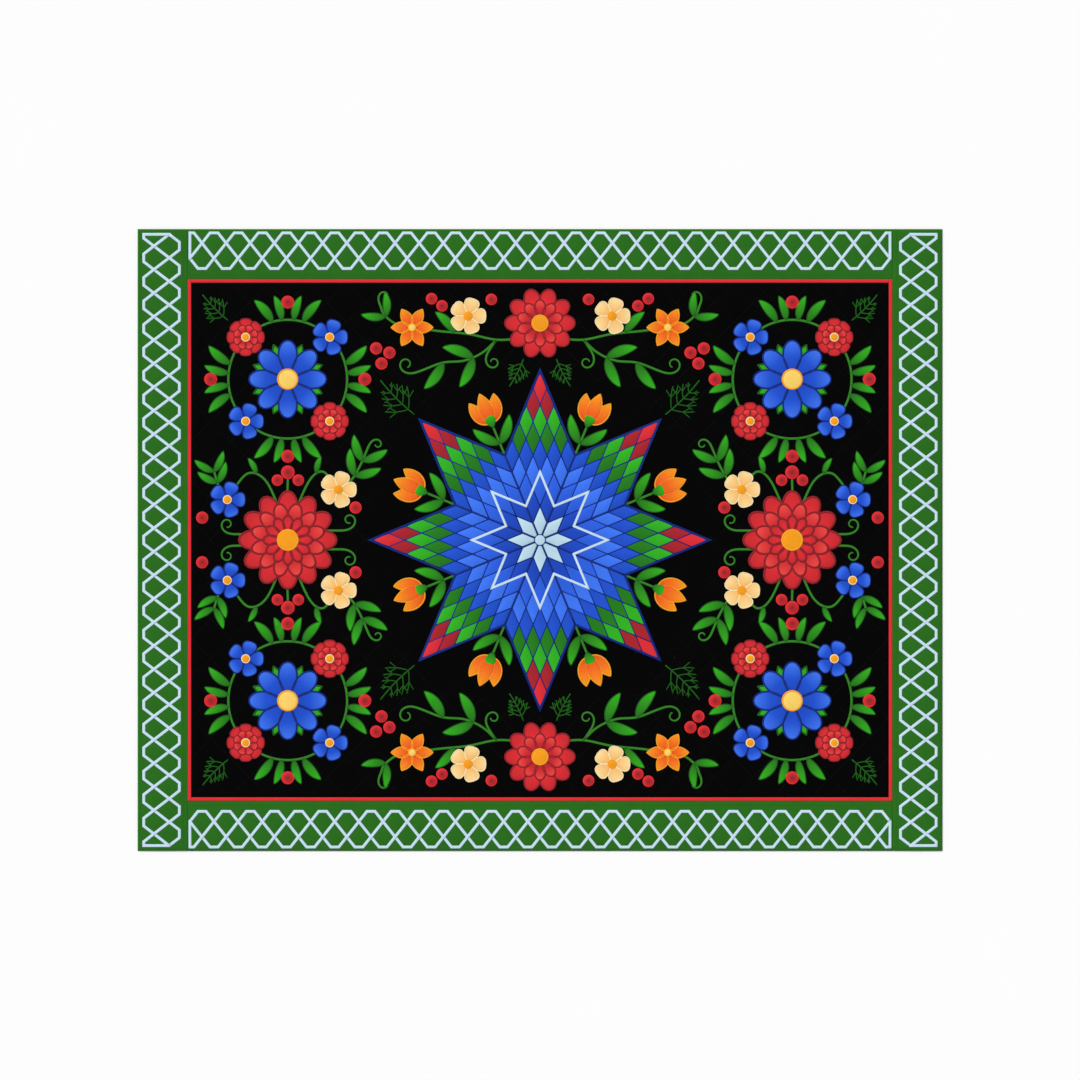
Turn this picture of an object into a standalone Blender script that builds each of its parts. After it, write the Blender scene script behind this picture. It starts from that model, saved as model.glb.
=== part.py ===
"""Star quilt blanket, lying flat.

A black quilted field carries a pieced eight-point star and applique flowers.
A narrow red flange and a green border frame it, and all lie on one backing.
Metres, +Z up: the origin is on the underside, in the middle of the quilt, and
the long side runs along X.
"""
import math
from collections import namedtuple

import bmesh
import bpy
from mathutils import Vector

# The quilt in plan
INCH = 0.0254
QUILT_LENGTH = 88 * INCH
QUILT_WIDTH = 68 * INCH
BORDER_WIDTH = 5.5 * INCH
FLANGE_WIDTH = 0.375 * INCH
GAP = 0.0003

FIELD_LENGTH = QUILT_LENGTH - 2 * (BORDER_WIDTH + FLANGE_WIDTH)
FIELD_WIDTH = QUILT_WIDTH - 2 * (BORDER_WIDTH + FLANGE_WIDTH)
HALF_LENGTH = FIELD_LENGTH / 2
HALF_WIDTH = FIELD_WIDTH / 2

# Heights above the surface that the quilt lies on; the backing ends just inside the turned edge
BACKING_THICKNESS = 0.0008
BACKING_INSET = 0.0020
LAYER_BASE = BACKING_THICKNESS + GAP
SEAM_HEIGHT = 0.0040
PUFF_RISE = 0.0020
APPLIQUE_BASE = SEAM_HEIGHT + GAP
APPLIQUE_EDGE = 0.0008
STAR_PUFF = 0.0016

# Quilting of the field: squares of about 3 in on point, counted in half diagonals
HATCH_COLUMNS = 36
HATCH_ROWS = 26

# The star, from its middle to a tip, with its small patches along a diamond's side
STAR_POINTS = 8
STAR_REACH = 0.470
PATCHES_PER_SIDE = 5

# Places of the applique
WREATH_REACH = 0.235
WREATH_MARGIN = 0.033
WREATH_RING = 0.165
RING_KINDS = ("red_rose", "forget_me_not", "red_rose", "forget_me_not")
WREATH_X = HALF_LENGTH - WREATH_MARGIN - WREATH_REACH
WREATH_Y = HALF_WIDTH - WREATH_MARGIN - WREATH_REACH
SPRAY_X = 0.700
SWAG_Y = 0.602

COLOURS = {
    "black": (0.010, 0.010, 0.011),
    "green": (0.019, 0.144, 0.008),
    "red": (0.760, 0.026, 0.032),
    "blue": (0.020, 0.110, 0.700),
    "ice": (0.540, 0.720, 0.870),
    "orange": (0.900, 0.190, 0.012),
    "cream": (0.950, 0.600, 0.200),
}
CLOTH_ROUGHNESS = 0.85

# A section lists shares of a strip's width, from its first edge, with the height there
SectionPoint = namedtuple("SectionPoint", "share height")
BORDER_SECTION = [
    SectionPoint(share=0.00, height=0.0030),
    SectionPoint(share=0.06, height=0.0046),
    SectionPoint(share=0.30, height=0.0062),
    SectionPoint(share=0.50, height=0.0056),
    SectionPoint(share=0.70, height=0.0062),
    SectionPoint(share=0.94, height=0.0048),
    SectionPoint(share=1.00, height=0.0040),
]
FLANGE_SECTION = [
    SectionPoint(share=0.00, height=0.0040),
    SectionPoint(share=0.25, height=0.0050),
    SectionPoint(share=0.75, height=0.0050),
    SectionPoint(share=1.00, height=0.0040),
]
BORDER_DIP = 0.0008
BORDER_PUFF_LENGTH = 0.140

# A flower's outline has rounded petals: notch is how deep the valleys cut, as a share of the radius
FlowerKind = namedtuple("FlowerKind", "petals radius notch roundness colour rise")
FLOWER_KINDS = {
    "blue_bloom": FlowerKind(petals=8, radius=0.108, notch=0.34, roundness=0.55, colour="blue", rise=0.0026),
    "dahlia": FlowerKind(petals=12, radius=0.136, notch=0.22, roundness=0.70, colour="red", rise=0.0028),
    "zinnia": FlowerKind(petals=10, radius=0.098, notch=0.24, roundness=0.70, colour="red", rise=0.0026),
    "red_rose": FlowerKind(petals=8, radius=0.052, notch=0.16, roundness=0.60, colour="red", rise=0.0024),
    "lily": FlowerKind(petals=6, radius=0.058, notch=0.42, roundness=0.90, colour="orange", rise=0.0022),
    "cream_blossom": FlowerKind(petals=5, radius=0.050, notch=0.36, roundness=0.55, colour="cream", rise=0.0020),
    "forget_me_not": FlowerKind(petals=5, radius=0.050, notch=0.36, roundness=0.55, colour="blue", rise=0.0020),
}
POINTS_PER_PETAL = 4
INNER_RING = 0.55
CORNERS = ((1, 1), (-1, 1), (-1, -1), (1, -1))

# Flowers of one quarter of the field, mirrored to the others; a zero stays on its axis
FlowerPlace = namedtuple("FlowerPlace", "kind x y")
QUARTER_FLOWERS = [
    FlowerPlace(kind="blue_bloom", x=WREATH_X, y=WREATH_Y),
    FlowerPlace(kind="dahlia", x=SPRAY_X, y=0.0),
    FlowerPlace(kind="cream_blossom", x=0.560, y=0.140),
    FlowerPlace(kind="forget_me_not", x=0.868, y=0.112),
    FlowerPlace(kind="zinnia", x=0.0, y=SWAG_Y),
    FlowerPlace(kind="cream_blossom", x=0.200, y=0.622),
    FlowerPlace(kind="lily", x=0.355, y=0.590),
]
for turn, ring_kind in enumerate(RING_KINDS):
    ring_angle = math.tau * (turn + 0.5) / len(RING_KINDS)
    ring_x = WREATH_X + WREATH_RING * math.cos(ring_angle)
    ring_y = WREATH_Y + WREATH_RING * math.sin(ring_angle)
    QUARTER_FLOWERS.append(FlowerPlace(kind=ring_kind, x=ring_x, y=ring_y))


def clear_scene():
    """Remove every object, so that the model starts from nothing."""
    for obj in list(bpy.data.objects):
        bpy.data.objects.remove(obj, do_unlink=True)


def cloth(name):
    """A matt cloth material of one of the quilt's colours."""
    found = bpy.data.materials.get(name)
    if found:
        return found
    material = bpy.data.materials.new(name)
    material.use_nodes = True
    shader = material.node_tree.nodes["Principled BSDF"]
    shader.inputs["Base Color"].default_value = (*COLOURS[name], 1.0)
    shader.inputs["Roughness"].default_value = CLOTH_ROUGHNESS
    shader.inputs["Metallic"].default_value = 0.0
    material.diffuse_color = (*COLOURS[name], 1.0)
    return material


def add_object(name, bm, colour):
    """Turn a closed bmesh into a named object of one cloth."""
    bmesh.ops.recalc_face_normals(bm, faces=bm.faces)
    mesh = bpy.data.meshes.new(name)
    bm.to_mesh(mesh)
    bm.free()
    mesh.materials.append(cloth(colour))
    obj = bpy.data.objects.new(name, mesh)
    bpy.context.scene.collection.objects.link(obj)
    return obj


def close_below(bm, rim, floor):
    """Drop a wall from an ordered rim to a flat underside."""
    below = [bm.verts.new((v.co.x, v.co.y, floor)) for v in rim]
    for i, v in enumerate(rim):
        j = (i + 1) % len(rim)
        bm.faces.new((v, rim[j], below[j], below[i]))
    bm.faces.new(below)


def grid_rim(grid):
    """The outer points of a grid of points, in order round it."""
    last = len(grid) - 1
    rim = [column[0] for column in grid]
    rim += grid[last][1:]
    rim += [grid[i][-1] for i in range(last - 1, -1, -1)]
    rim += grid[0][-2:0:-1]
    return rim


def quarter_copies(place):
    """The mirror images of a place in the four quarters, without repeats."""
    sides_x = (1, -1) if place.x else (1,)
    sides_y = (1, -1) if place.y else (1,)
    return [(place.x * sx, place.y * sy) for sx in sides_x for sy in sides_y]


def all_flowers():
    """Every flower of the quilt as (name, kind, x, y)."""
    counts = {}
    flowers = []
    for place in QUARTER_FLOWERS:
        for x, y in quarter_copies(place):
            counts[place.kind] = counts.get(place.kind, 0) + 1
            flowers.append((f"{place.kind}_{counts[place.kind]}", FLOWER_KINDS[place.kind], x, y))
    return flowers


def quiet_places(flowers):
    """Circles of the field that the star and the flowers cover, where the quilting stays flat."""
    return [(0.0, 0.0, STAR_REACH)] + [(x, y, kind.radius) for _, kind, x, y in flowers]


def make_backing():
    """The quilt's back: one flat sheet under the field, the flange and the border."""
    half = (QUILT_LENGTH / 2 - BACKING_INSET, QUILT_WIDTH / 2 - BACKING_INSET)
    bm = bmesh.new()
    rim = [bm.verts.new((sx * half[0], sy * half[1], BACKING_THICKNESS)) for sx, sy in CORNERS]
    bm.faces.new(rim)
    close_below(bm, rim, 0.0)
    add_object("backing", bm, "black")


def make_field(flowers):
    """The black panel: crossings of the quilting stay low, and each free square is puffed up."""
    circles = quiet_places(flowers)
    length = FIELD_LENGTH - GAP
    width = FIELD_WIDTH - GAP
    step = Vector((length / HATCH_COLUMNS, width / HATCH_ROWS))
    cell_reach = max(step)

    def height(i, j, x, y):
        on_edge = i in (0, HATCH_COLUMNS) or j in (0, HATCH_ROWS)
        crossing = (i + j) % 2 == 0
        covered = any(math.hypot(x - cx, y - cy) < reach + cell_reach for cx, cy, reach in circles)
        return SEAM_HEIGHT if on_edge or crossing or covered else SEAM_HEIGHT + PUFF_RISE

    bm = bmesh.new()
    grid = []
    for i in range(HATCH_COLUMNS + 1):
        x = i * step.x - length / 2
        column = []
        for j in range(HATCH_ROWS + 1):
            y = j * step.y - width / 2
            column.append(bm.verts.new((x, y, height(i, j, x, y))))
        grid.append(column)
    for i in range(HATCH_COLUMNS):
        for j in range(HATCH_ROWS):
            a, b = grid[i][j], grid[i + 1][j]
            c, d = grid[i + 1][j + 1], grid[i][j + 1]
            if (i + j) % 2 == 0:
                bm.faces.new((a, b, c))
                bm.faces.new((a, c, d))
            else:
                bm.faces.new((a, b, d))
                bm.faces.new((b, c, d))
    close_below(bm, grid_rim(grid), LAYER_BASE)
    add_object("field", bm, "black")


def make_star_point(index):
    """One diamond of the star: its seams are low and each small patch is puffed up."""
    turn = index * math.tau / STAR_POINTS
    half = math.pi / STAR_POINTS
    first = Vector((math.cos(turn - half), math.sin(turn - half)))
    second = Vector((math.cos(turn + half), math.sin(turn + half)))
    middle = Vector((math.cos(turn), math.sin(turn)))
    inset = GAP / 2
    side = STAR_REACH / (2 * math.cos(half)) - 2 * inset / math.sin(2 * half)
    start = middle * (inset / math.sin(half))
    patch = side / PATCHES_PER_SIDE
    seam = APPLIQUE_BASE + APPLIQUE_EDGE

    bm = bmesh.new()

    def point(a, b, z):
        flat = start + first * (a * patch) + second * (b * patch)
        return bm.verts.new((flat.x, flat.y, z))

    count = PATCHES_PER_SIDE + 1
    grid = [[point(a, b, seam) for b in range(count)] for a in range(count)]
    for a in range(PATCHES_PER_SIDE):
        for b in range(PATCHES_PER_SIDE):
            top = point(a + 0.5, b + 0.5, seam + STAR_PUFF)
            corners = (grid[a][b], grid[a + 1][b], grid[a + 1][b + 1], grid[a][b + 1])
            for k in range(4):
                bm.faces.new((corners[k], corners[(k + 1) % 4], top))
    close_below(bm, grid_rim(grid), APPLIQUE_BASE)
    add_object(f"star_point_{index + 1}", bm, "blue")


def make_flower(name, kind, x, y):
    """A domed applique flower with rounded petals."""
    count = kind.petals * POINTS_PER_PETAL

    def ring(scale, z, soften):
        points = []
        for k in range(count):
            angle = k * math.tau / count
            lobe = abs(math.cos(kind.petals * angle / 2)) ** kind.roundness
            reach = scale * kind.radius * (1 - soften * kind.notch * (1 - lobe))
            points.append(bm.verts.new((x + reach * math.cos(angle), y + reach * math.sin(angle), z)))
        return points

    bm = bmesh.new()
    edge = ring(1.0, APPLIQUE_BASE + APPLIQUE_EDGE, 1.0)
    inner = ring(INNER_RING, APPLIQUE_BASE + kind.rise, 0.5)
    top = bm.verts.new((x, y, APPLIQUE_BASE + kind.rise))
    for k in range(count):
        j = (k + 1) % count
        bm.faces.new((edge[k], edge[j], inner[j], inner[k]))
        bm.faces.new((inner[k], inner[j], top))
    close_below(bm, edge, APPLIQUE_BASE)
    add_object(name, bm, kind.colour)


def make_strip(name, start, along, across, section, puff_length, colour):
    """A sewn strip: its section is carried along it, and dips at each line of quilting."""
    pieces = max(1, round(along.length / puff_length)) if puff_length else 1
    stations = 2 * pieces if puff_length else 1
    bm = bmesh.new()
    grid = []
    for i in range(stations + 1):
        dip = BORDER_DIP if puff_length and i % 2 == 0 else 0.0
        column = []
        for k, spot in enumerate(section):
            on_edge = k in (0, len(section) - 1)
            flat = start + along * (i / stations) + across * spot.share
            column.append(bm.verts.new((flat.x, flat.y, spot.height - (0.0 if on_edge else dip))))
        grid.append(column)
    for i in range(stations):
        for k in range(len(section) - 1):
            bm.faces.new((grid[i][k], grid[i + 1][k], grid[i + 1][k + 1], grid[i][k + 1]))
    close_below(bm, grid_rim(grid), LAYER_BASE)
    add_object(name, bm, colour)


def make_frame_of_strips(prefix, half_length, half_width, strip, section, puff_length, colour):
    """Four strips round a rectangle: the side ones run full height, and the others butt against them."""
    body = strip - GAP
    for sign, side in ((1, "right"), (-1, "left")):
        start = Vector((sign * half_length, -half_width))
        along = Vector((0.0, 2 * half_width))
        across = Vector((-sign * body, 0.0))
        make_strip(f"{prefix}_{side}", start, along, across, section, puff_length, colour)
    for sign, side in ((1, "top"), (-1, "bottom")):
        reach = half_length - strip
        start = Vector((-reach, sign * half_width))
        along = Vector((2 * reach, 0.0))
        across = Vector((0.0, -sign * body))
        make_strip(f"{prefix}_{side}", start, along, across, section, puff_length, colour)


def build():
    """Make every piece of the quilt."""
    clear_scene()
    flowers = all_flowers()
    make_backing()
    make_field(flowers)
    make_frame_of_strips("border", QUILT_LENGTH / 2, QUILT_WIDTH / 2, BORDER_WIDTH,
                         BORDER_SECTION, BORDER_PUFF_LENGTH, "green")
    make_frame_of_strips("flange", HALF_LENGTH + FLANGE_WIDTH, HALF_WIDTH + FLANGE_WIDTH, FLANGE_WIDTH,
                         FLANGE_SECTION, None, "red")
    for index in range(STAR_POINTS):
        make_star_point(index)
    for name, kind, x, y in flowers:
        make_flower(name, kind, x, y)


build()
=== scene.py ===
# %% [markdown]
# # A star quilt, laid out flat
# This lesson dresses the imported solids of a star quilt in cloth, thread and tape. The real quilt is a
# black field with a pieced star, flowers cut from cotton and stitched on, a narrow red flange and a
# green border with a braid of pale blue tape. The solids are loaded first, and they stay as they are:
# each piece below stands in for some of them, or is sewn on top, in the same metres.

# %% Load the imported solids
import math
from collections import namedtuple

import bpy
import numpy as np
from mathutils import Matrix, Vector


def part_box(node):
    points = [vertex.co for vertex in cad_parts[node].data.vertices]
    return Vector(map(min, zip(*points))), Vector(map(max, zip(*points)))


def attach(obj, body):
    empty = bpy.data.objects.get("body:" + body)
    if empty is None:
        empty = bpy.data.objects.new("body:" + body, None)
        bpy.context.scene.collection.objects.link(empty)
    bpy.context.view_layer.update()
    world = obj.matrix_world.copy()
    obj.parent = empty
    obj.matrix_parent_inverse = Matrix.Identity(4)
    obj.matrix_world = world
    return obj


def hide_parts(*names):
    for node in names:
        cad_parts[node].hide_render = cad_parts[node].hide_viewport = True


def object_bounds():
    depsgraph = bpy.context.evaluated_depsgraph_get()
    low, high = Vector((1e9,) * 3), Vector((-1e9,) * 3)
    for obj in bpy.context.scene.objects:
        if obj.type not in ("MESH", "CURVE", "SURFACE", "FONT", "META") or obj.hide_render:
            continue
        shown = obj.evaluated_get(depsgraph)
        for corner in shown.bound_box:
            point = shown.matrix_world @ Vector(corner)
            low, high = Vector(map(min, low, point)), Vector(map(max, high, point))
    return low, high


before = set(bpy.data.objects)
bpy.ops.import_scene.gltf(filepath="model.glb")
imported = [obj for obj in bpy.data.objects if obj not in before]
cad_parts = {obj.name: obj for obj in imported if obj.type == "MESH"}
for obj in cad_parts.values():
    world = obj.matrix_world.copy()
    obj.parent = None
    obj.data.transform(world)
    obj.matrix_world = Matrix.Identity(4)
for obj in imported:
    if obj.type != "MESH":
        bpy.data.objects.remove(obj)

MM = 0.001
cad_box = [[float(value) for value in corner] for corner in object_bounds()]
print("solids:", len(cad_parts), "box in metres:", cad_box)

# %% [markdown]
# ## The quilt's own measures
# A quilter works from a cutting plan. Here the plan is read back from the solids: each flower's
# middle and reach come from its own box, so a flower that is moved there moves here too. A flower's
# first petal points along +X, which gives its middle, and the petal that stands highest gives its reach.

# %% Read places and sizes from the solids
FIELD_LOW, FIELD_HIGH = (np.array(corner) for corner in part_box("field"))
LAYER_BASE = float(FIELD_LOW[2])
STAR_REACH = float(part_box("star_point_1")[1].x)
STAR_POINTS = 8
PATCHES = 5
SEAM = 4.0 * MM
PUFF = 2.0 * MM
GAP = 0.3 * MM
EDGE_FADE = 12.0 * MM
HATCH_COLUMNS = 36
HATCH_ROWS = 26
PETALS = {"blue_bloom": 8, "red_rose": 8, "dahlia": 12, "zinnia": 10, "lily": 6, "cream_blossom": 5,
          "forget_me_not": 5}
FLOWER_NODES = {kind: [node for node in sorted(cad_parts) if node.startswith(kind)]
                for kind in PETALS}


def flower_places(kind, petals):
    """Middle x, middle y and reach of each flower of a kind, as rows of an array."""
    boxes = [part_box(node) for node in FLOWER_NODES[kind]]
    low = np.array([corner[0] for corner in boxes])
    high = np.array([corner[1] for corner in boxes])
    steepest = np.abs(np.sin(np.arange(petals) * math.tau / petals)).max()
    reach = (high[:, 1] - low[:, 1]) / 2 / steepest
    return np.stack([high[:, 0] - reach, (high[:, 1] + low[:, 1]) / 2, reach], axis=1)


PLACES = {kind: flower_places(kind, petals) for kind, petals in PETALS.items()}
for kind, places in PLACES.items():
    print(kind, len(places), "with a reach of", round(float(places[0, 2]) / MM, 1), "mm")

# %% [markdown]
# ## The quilted ground
# Slanting rows of stitches pull the three layers together, and the batting lifts each square between
# them into a pillow. A height map could be sculpted or painted, but the pattern is regular, so a
# formula is shorter and exact. Under the star and the flowers the cloth is held flat by their stitching.

# %% Height of the field at any point
STEP_X, STEP_Y = (FIELD_HIGH[:2] - FIELD_LOW[:2]) / (HATCH_COLUMNS, HATCH_ROWS)
QUIET = np.vstack([[(0.0, 0.0, STAR_REACH)]] + list(PLACES.values()))


def pillow(turns):
    """A row of pillows: 1 - |2 f - 1|^2.5, where f is the fraction of a turn past the last line."""
    return 1 - np.abs(2 * (turns % 1) - 1) ** 2.5


def ground(x, y):
    """Height of the field's face: the seam height, plus a pillow in p times a pillow in q.

    p and q count the two families of slanting stitch lines. A pillow whose middle lies near a
    flower or the star is left out, and all of them fade out along the field's edges.
    """
    i = (x - FIELD_LOW[0]) / STEP_X
    j = (y - FIELD_LOW[1]) / STEP_Y
    p, q = (i + j) / 2, (i - j) / 2
    middle_p, middle_q = np.floor(p) + 0.5, np.floor(q) + 0.5
    middle_x = FIELD_LOW[0] + (middle_p + middle_q) * STEP_X
    middle_y = FIELD_LOW[1] + (middle_p - middle_q) * STEP_Y
    free = np.ones_like(middle_x)
    for quiet_x, quiet_y, reach in QUIET:
        free *= np.hypot(middle_x - quiet_x, middle_y - quiet_y) > reach + max(STEP_X, STEP_Y)
    inside = np.minimum.reduce([x - FIELD_LOW[0], FIELD_HIGH[0] - x, y - FIELD_LOW[1], FIELD_HIGH[1] - y])
    fade = np.clip(inside / EDGE_FADE, 0, 1)
    return SEAM + PUFF * pillow(p) * pillow(q) * free * fade


print("diagonals of a square on point:", round(2 * STEP_X / MM, 1), "and", round(2 * STEP_Y / MM, 1), "mm")

# %% [markdown]
# ## From a grid of points to a piece of cloth
# Every piece here is a grid of points: a closed section carried along a line. A strip, a petal, a
# cord and the whole field differ only in their formulas. The helper below turns many such grids into
# one closed mesh, caps their ends, and gives each corner its place on the UV map. Modelling by hand
# or with modifiers would also do, but arrays keep hundreds of petals exact and quick.

# %% Helpers: points in arrays
def unit(angle):
    """Unit vectors in plan, (cos, sin) of each angle."""
    return np.stack([np.cos(angle), np.sin(angle)], axis=-1)


def pairs(first, second):
    """Every first number with its second one, along a new last axis."""
    return np.stack(np.broadcast_arrays(first, second), axis=-1)


def raised(plan, z):
    """Plan points (x, y) with their heights z."""
    return np.concatenate([plan, z[..., None]], axis=-1)


print("unit vector at a quarter of a turn:", unit(math.pi / 2).round(3))

# %% Helper: closed grids to one mesh
Grid = namedtuple("Grid", "points uv closed")


def grid_corners(rows, columns, closed):
    """Corner numbers of a grid's quads, in its points and in the longer grid that holds the UV map."""
    i, j = np.meshgrid(np.arange(rows if closed else rows - 1), np.arange(columns), indexing="ij")
    around = [(i, j), (i + 1, j), (i + 1, j + 1), (i, j + 1)]
    points = np.stack([(a % rows) * columns + b % columns for a, b in around], axis=-1)
    uv = np.stack([a * (columns + 1) + b for a, b in around], axis=-1)
    return points.reshape(-1, 4), uv.reshape(-1, 4)


def facing_in(points, quads):
    """Which copies of a grid face inwards: the volume summed over their quads is negative."""
    flat = points.reshape(len(points), -1, 3)
    flat = flat - flat.mean(axis=1, keepdims=True)
    a, b, c, d = (flat[:, quads[:, k]] for k in range(4))
    volume = (a * np.cross(b, c)).sum(axis=(1, 2)) + (a * np.cross(c, d)).sum(axis=(1, 2))
    return volume < 0


def add_mesh(name, grids, material):
    """One mesh from grids of copies: closed bodies with capped ends, smooth but for their undersides."""
    vertices, faces, uv_rows, start = [], [], [], 0
    for grid in grids:
        copies, rows, columns, _ = grid.points.shape
        quads, uv_quads = grid_corners(rows, columns, grid.closed)
        inside_out = facing_in(grid.points, quads)
        uv = np.broadcast_to(grid.uv, (copies, *grid.uv.shape[-3:])).reshape(copies, -1, 2)
        offset = start + np.arange(copies)[:, None, None] * rows * columns
        corners = quads[None] + offset
        corner_uv = uv[:, uv_quads]
        corners[inside_out] = corners[inside_out][:, :, ::-1]
        corner_uv[inside_out] = corner_uv[inside_out][:, :, ::-1]
        faces += corners.reshape(-1, 4).tolist()
        uv_rows.append(corner_uv.reshape(-1, 2))
        if not grid.closed:
            for row, step in ((0, 1), (rows - 1, -1)):
                ring = row * columns + np.arange(columns)[::step] + offset[:, 0]
                ring_uv = uv.reshape(copies, -1, columns + 1, 2)[:, row, :columns][:, ::step]
                ring = np.where(inside_out[:, None], ring[:, ::-1], ring)
                ring_uv = np.where(inside_out[:, None, None], ring_uv[:, ::-1], ring_uv)
                faces += ring.tolist()
                uv_rows.append(ring_uv.reshape(-1, 2))
        vertices.append(grid.points.reshape(-1, 3))
        start += copies * rows * columns
    mesh = bpy.data.meshes.new(name)
    mesh.from_pydata(np.concatenate(vertices).tolist(), [], faces)
    layer = mesh.uv_layers.new(name="cloth")
    layer.data.foreach_set("uv", np.concatenate(uv_rows).astype(np.float32).ravel())
    normals = np.zeros(len(mesh.polygons) * 3)
    mesh.polygons.foreach_get("normal", normals)
    mesh.polygons.foreach_set("use_smooth", normals[2::3] > -0.7)
    mesh.materials.append(material)
    piece = bpy.data.objects.new(name, mesh)
    bpy.context.scene.collection.objects.link(piece)
    return piece


print("quads of a closed grid of 4 rows and 3 columns:", len(grid_corners(4, 3, True)[0]))


def layer_area(piece):
    """Flat area of a thin closed piece: half the area of its skin."""
    areas = np.zeros(len(piece.data.polygons))
    piece.data.polygons.foreach_get("area", areas)
    return float(areas.sum()) / 2


def add_trim(name, grids, material):
    """Thread, cord or tape that is sewn to a cloth: it rides on the quilt."""
    piece = add_mesh(name, grids, material)
    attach(piece, "root")
    triangles = sum(len(polygon.vertices) - 2 for polygon in piece.data.polygons)
    print(f"{name}: {triangles} triangles")
    return piece


def add_cloth(name, grids, material, replaces=()):
    """Small pieces of cloth that lie flat, in place of any solids that they replace. Their flat area is
    worked out but not used.
    """
    piece = add_trim(name, grids, material)
    if replaces:
        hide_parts(*replaces)
    area = layer_area(piece)
    return piece


def add_panel(name, grid, material, node):
    """A whole panel of the quilt, in place of one solid."""
    piece = add_trim(name, [grid], material)
    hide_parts(node)
    return piece


# %% [markdown]
# ## Arithmetic on material sockets
# A cloth's colour and relief are sums and products of simple waves and noises. Written as nodes they
# are hard to read, so a small class lets Python's own signs stand for Math nodes, and one method adds
# any other node with its settings first and its inputs after.

# %% Helper: sockets that can be added and multiplied
class Wire:
    """A socket in an expression. Each sign adds one Math node to its material."""

    def __init__(self, recipe, socket):
        self.recipe = recipe
        self.socket = socket

    def math(self, operation, *values):
        return self.recipe.node("ShaderNodeMath", {"operation": operation}, dict(enumerate(values)))

    def __add__(self, other):
        return self.math("ADD", self, other)

    def __sub__(self, other):
        return self.math("SUBTRACT", self, other)

    def __rsub__(self, other):
        return self.math("SUBTRACT", other, self)

    def __mul__(self, other):
        return self.math("MULTIPLY", self, other)

    def __pow__(self, other):
        return self.math("POWER", self, other)

    __radd__ = __add__
    __rmul__ = __mul__

    def sine(self):
        return self.math("SINE", self)

    def absolute(self):
        return self.math("ABSOLUTE", self)

    def fraction(self):
        return self.math("FRACT", self)


class Recipe:
    """A material: a Principled shader with its uniform numbers, and a method that adds other nodes."""

    def __init__(self, name, roughness, specular, sheen):
        self.material = bpy.data.materials.new(name)
        self.material.use_nodes = True
        self.tree = self.material.node_tree
        self.shader = self.tree.nodes["Principled BSDF"]
        self.feed(self.shader.inputs["Roughness"], roughness)
        self.feed(self.shader.inputs["Specular IOR Level"], specular)
        self.feed(self.shader.inputs["Sheen Weight"], sheen)
        self.feed(self.shader.inputs["Sheen Roughness"], 0.5)

    def feed(self, socket, value):
        """Link a wire to a socket, or set its number or colour."""
        if isinstance(value, Wire):
            self.tree.links.new(value.socket, socket)
        else:
            socket.default_value = value

    def node(self, kind, settings=None, inputs=None, output=0):
        """Add a node: its settings first, with a ramp's stops as (place, colour), then its inputs."""
        made = self.tree.nodes.new(kind)
        for key, value in (settings or {}).items():
            if key == "stops":
                ramp = made.color_ramp.elements
                for place, colour in value[2:]:
                    ramp.new(place)
                for stop, (place, colour) in zip(ramp, value):
                    stop.position = place
                    stop.color = colour
            else:
                setattr(made, key, value)
        for key, value in (inputs or {}).items():
            self.feed(made.inputs[key], value)
        return Wire(self, made.outputs[output])

    def axes(self, vector):
        """The first two numbers of a vector."""
        split = self.node("ShaderNodeSeparateXYZ", inputs={0: vector})
        return split, Wire(self, split.socket.node.outputs[1])

    def place(self, what):
        """Object coordinates, or the piece's own UV map."""
        if what == "UV":
            return self.node("ShaderNodeUVMap", {"uv_map": "cloth"})
        return self.node("ShaderNodeTexCoord", output="Object")

    def noise(self, scale, stretch=(1, 1, 1), detail=2.0):
        """Smooth noise from 0 to 1, with scale features to a metre, stretched along the axes."""
        spot = self.node("ShaderNodeMapping", inputs={"Vector": self.place("Object"), "Scale": stretch})
        return self.node("ShaderNodeTexNoise", inputs={"Vector": spot, "Scale": scale, "Detail": detail})

    def plain(self, colour):
        """A node that holds one colour."""
        made = self.node("ShaderNodeRGB")
        made.socket.default_value = colour
        return made

    def scaled(self, colour, light):
        """A colour times a number."""
        return self.node("ShaderNodeVectorMath", {"operation": "SCALE"}, {0: colour, "Scale": light})

    def finish(self, colour, height, distance):
        """Feed the colour and a bump of the given depth into the shader."""
        self.feed(self.shader.inputs["Base Color"], colour)
        bump = self.node("ShaderNodeBump", inputs={"Strength": 1.0, "Distance": distance, "Height": height})
        self.feed(self.shader.inputs["Normal"], bump)
        return self.material


def dye(code):
    """A linear colour from a six-digit code: v / 12.92 up to 0.04045, else ((v + 0.055) / 1.055)^2.4."""
    values = np.array([int(code[k:k + 2], 16) for k in (0, 2, 4)]) / 255
    linear = np.where(values <= 0.04045, values / 12.92, ((values + 0.055) / 1.055) ** 2.4)
    return (*(float(v) for v in linear), 1.0)


print("mid green in linear light:", [round(v, 3) for v in dye("256a16")])

# %% [markdown]
# ## Plain cotton
# Quilting cotton is a plain weave of matt thread: each thread goes over one and under the next, and a
# few threads are thicker than the rest. Seen from a step away that gives a fine grain and a slight
# cloudiness where the dye has taken unevenly. A photograph of cloth would repeat and fix its light,
# so the weave is two waves multiplied, and the clouds and thick threads are noise.

# %% Cotton, plain or shaded along the piece
THREAD_PITCH = 0.55 * MM
WAVE = math.pi / THREAD_PITCH
WEAVE_DEPTH = 0.12 * MM
SLUBS_PER_METRE = 900
SLUB_STRETCH = 0.05
CLOUDS_PER_METRE = 14
GRAIN_SHARE = 1.2
PETAL_CLOUDS = 0.16


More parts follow.
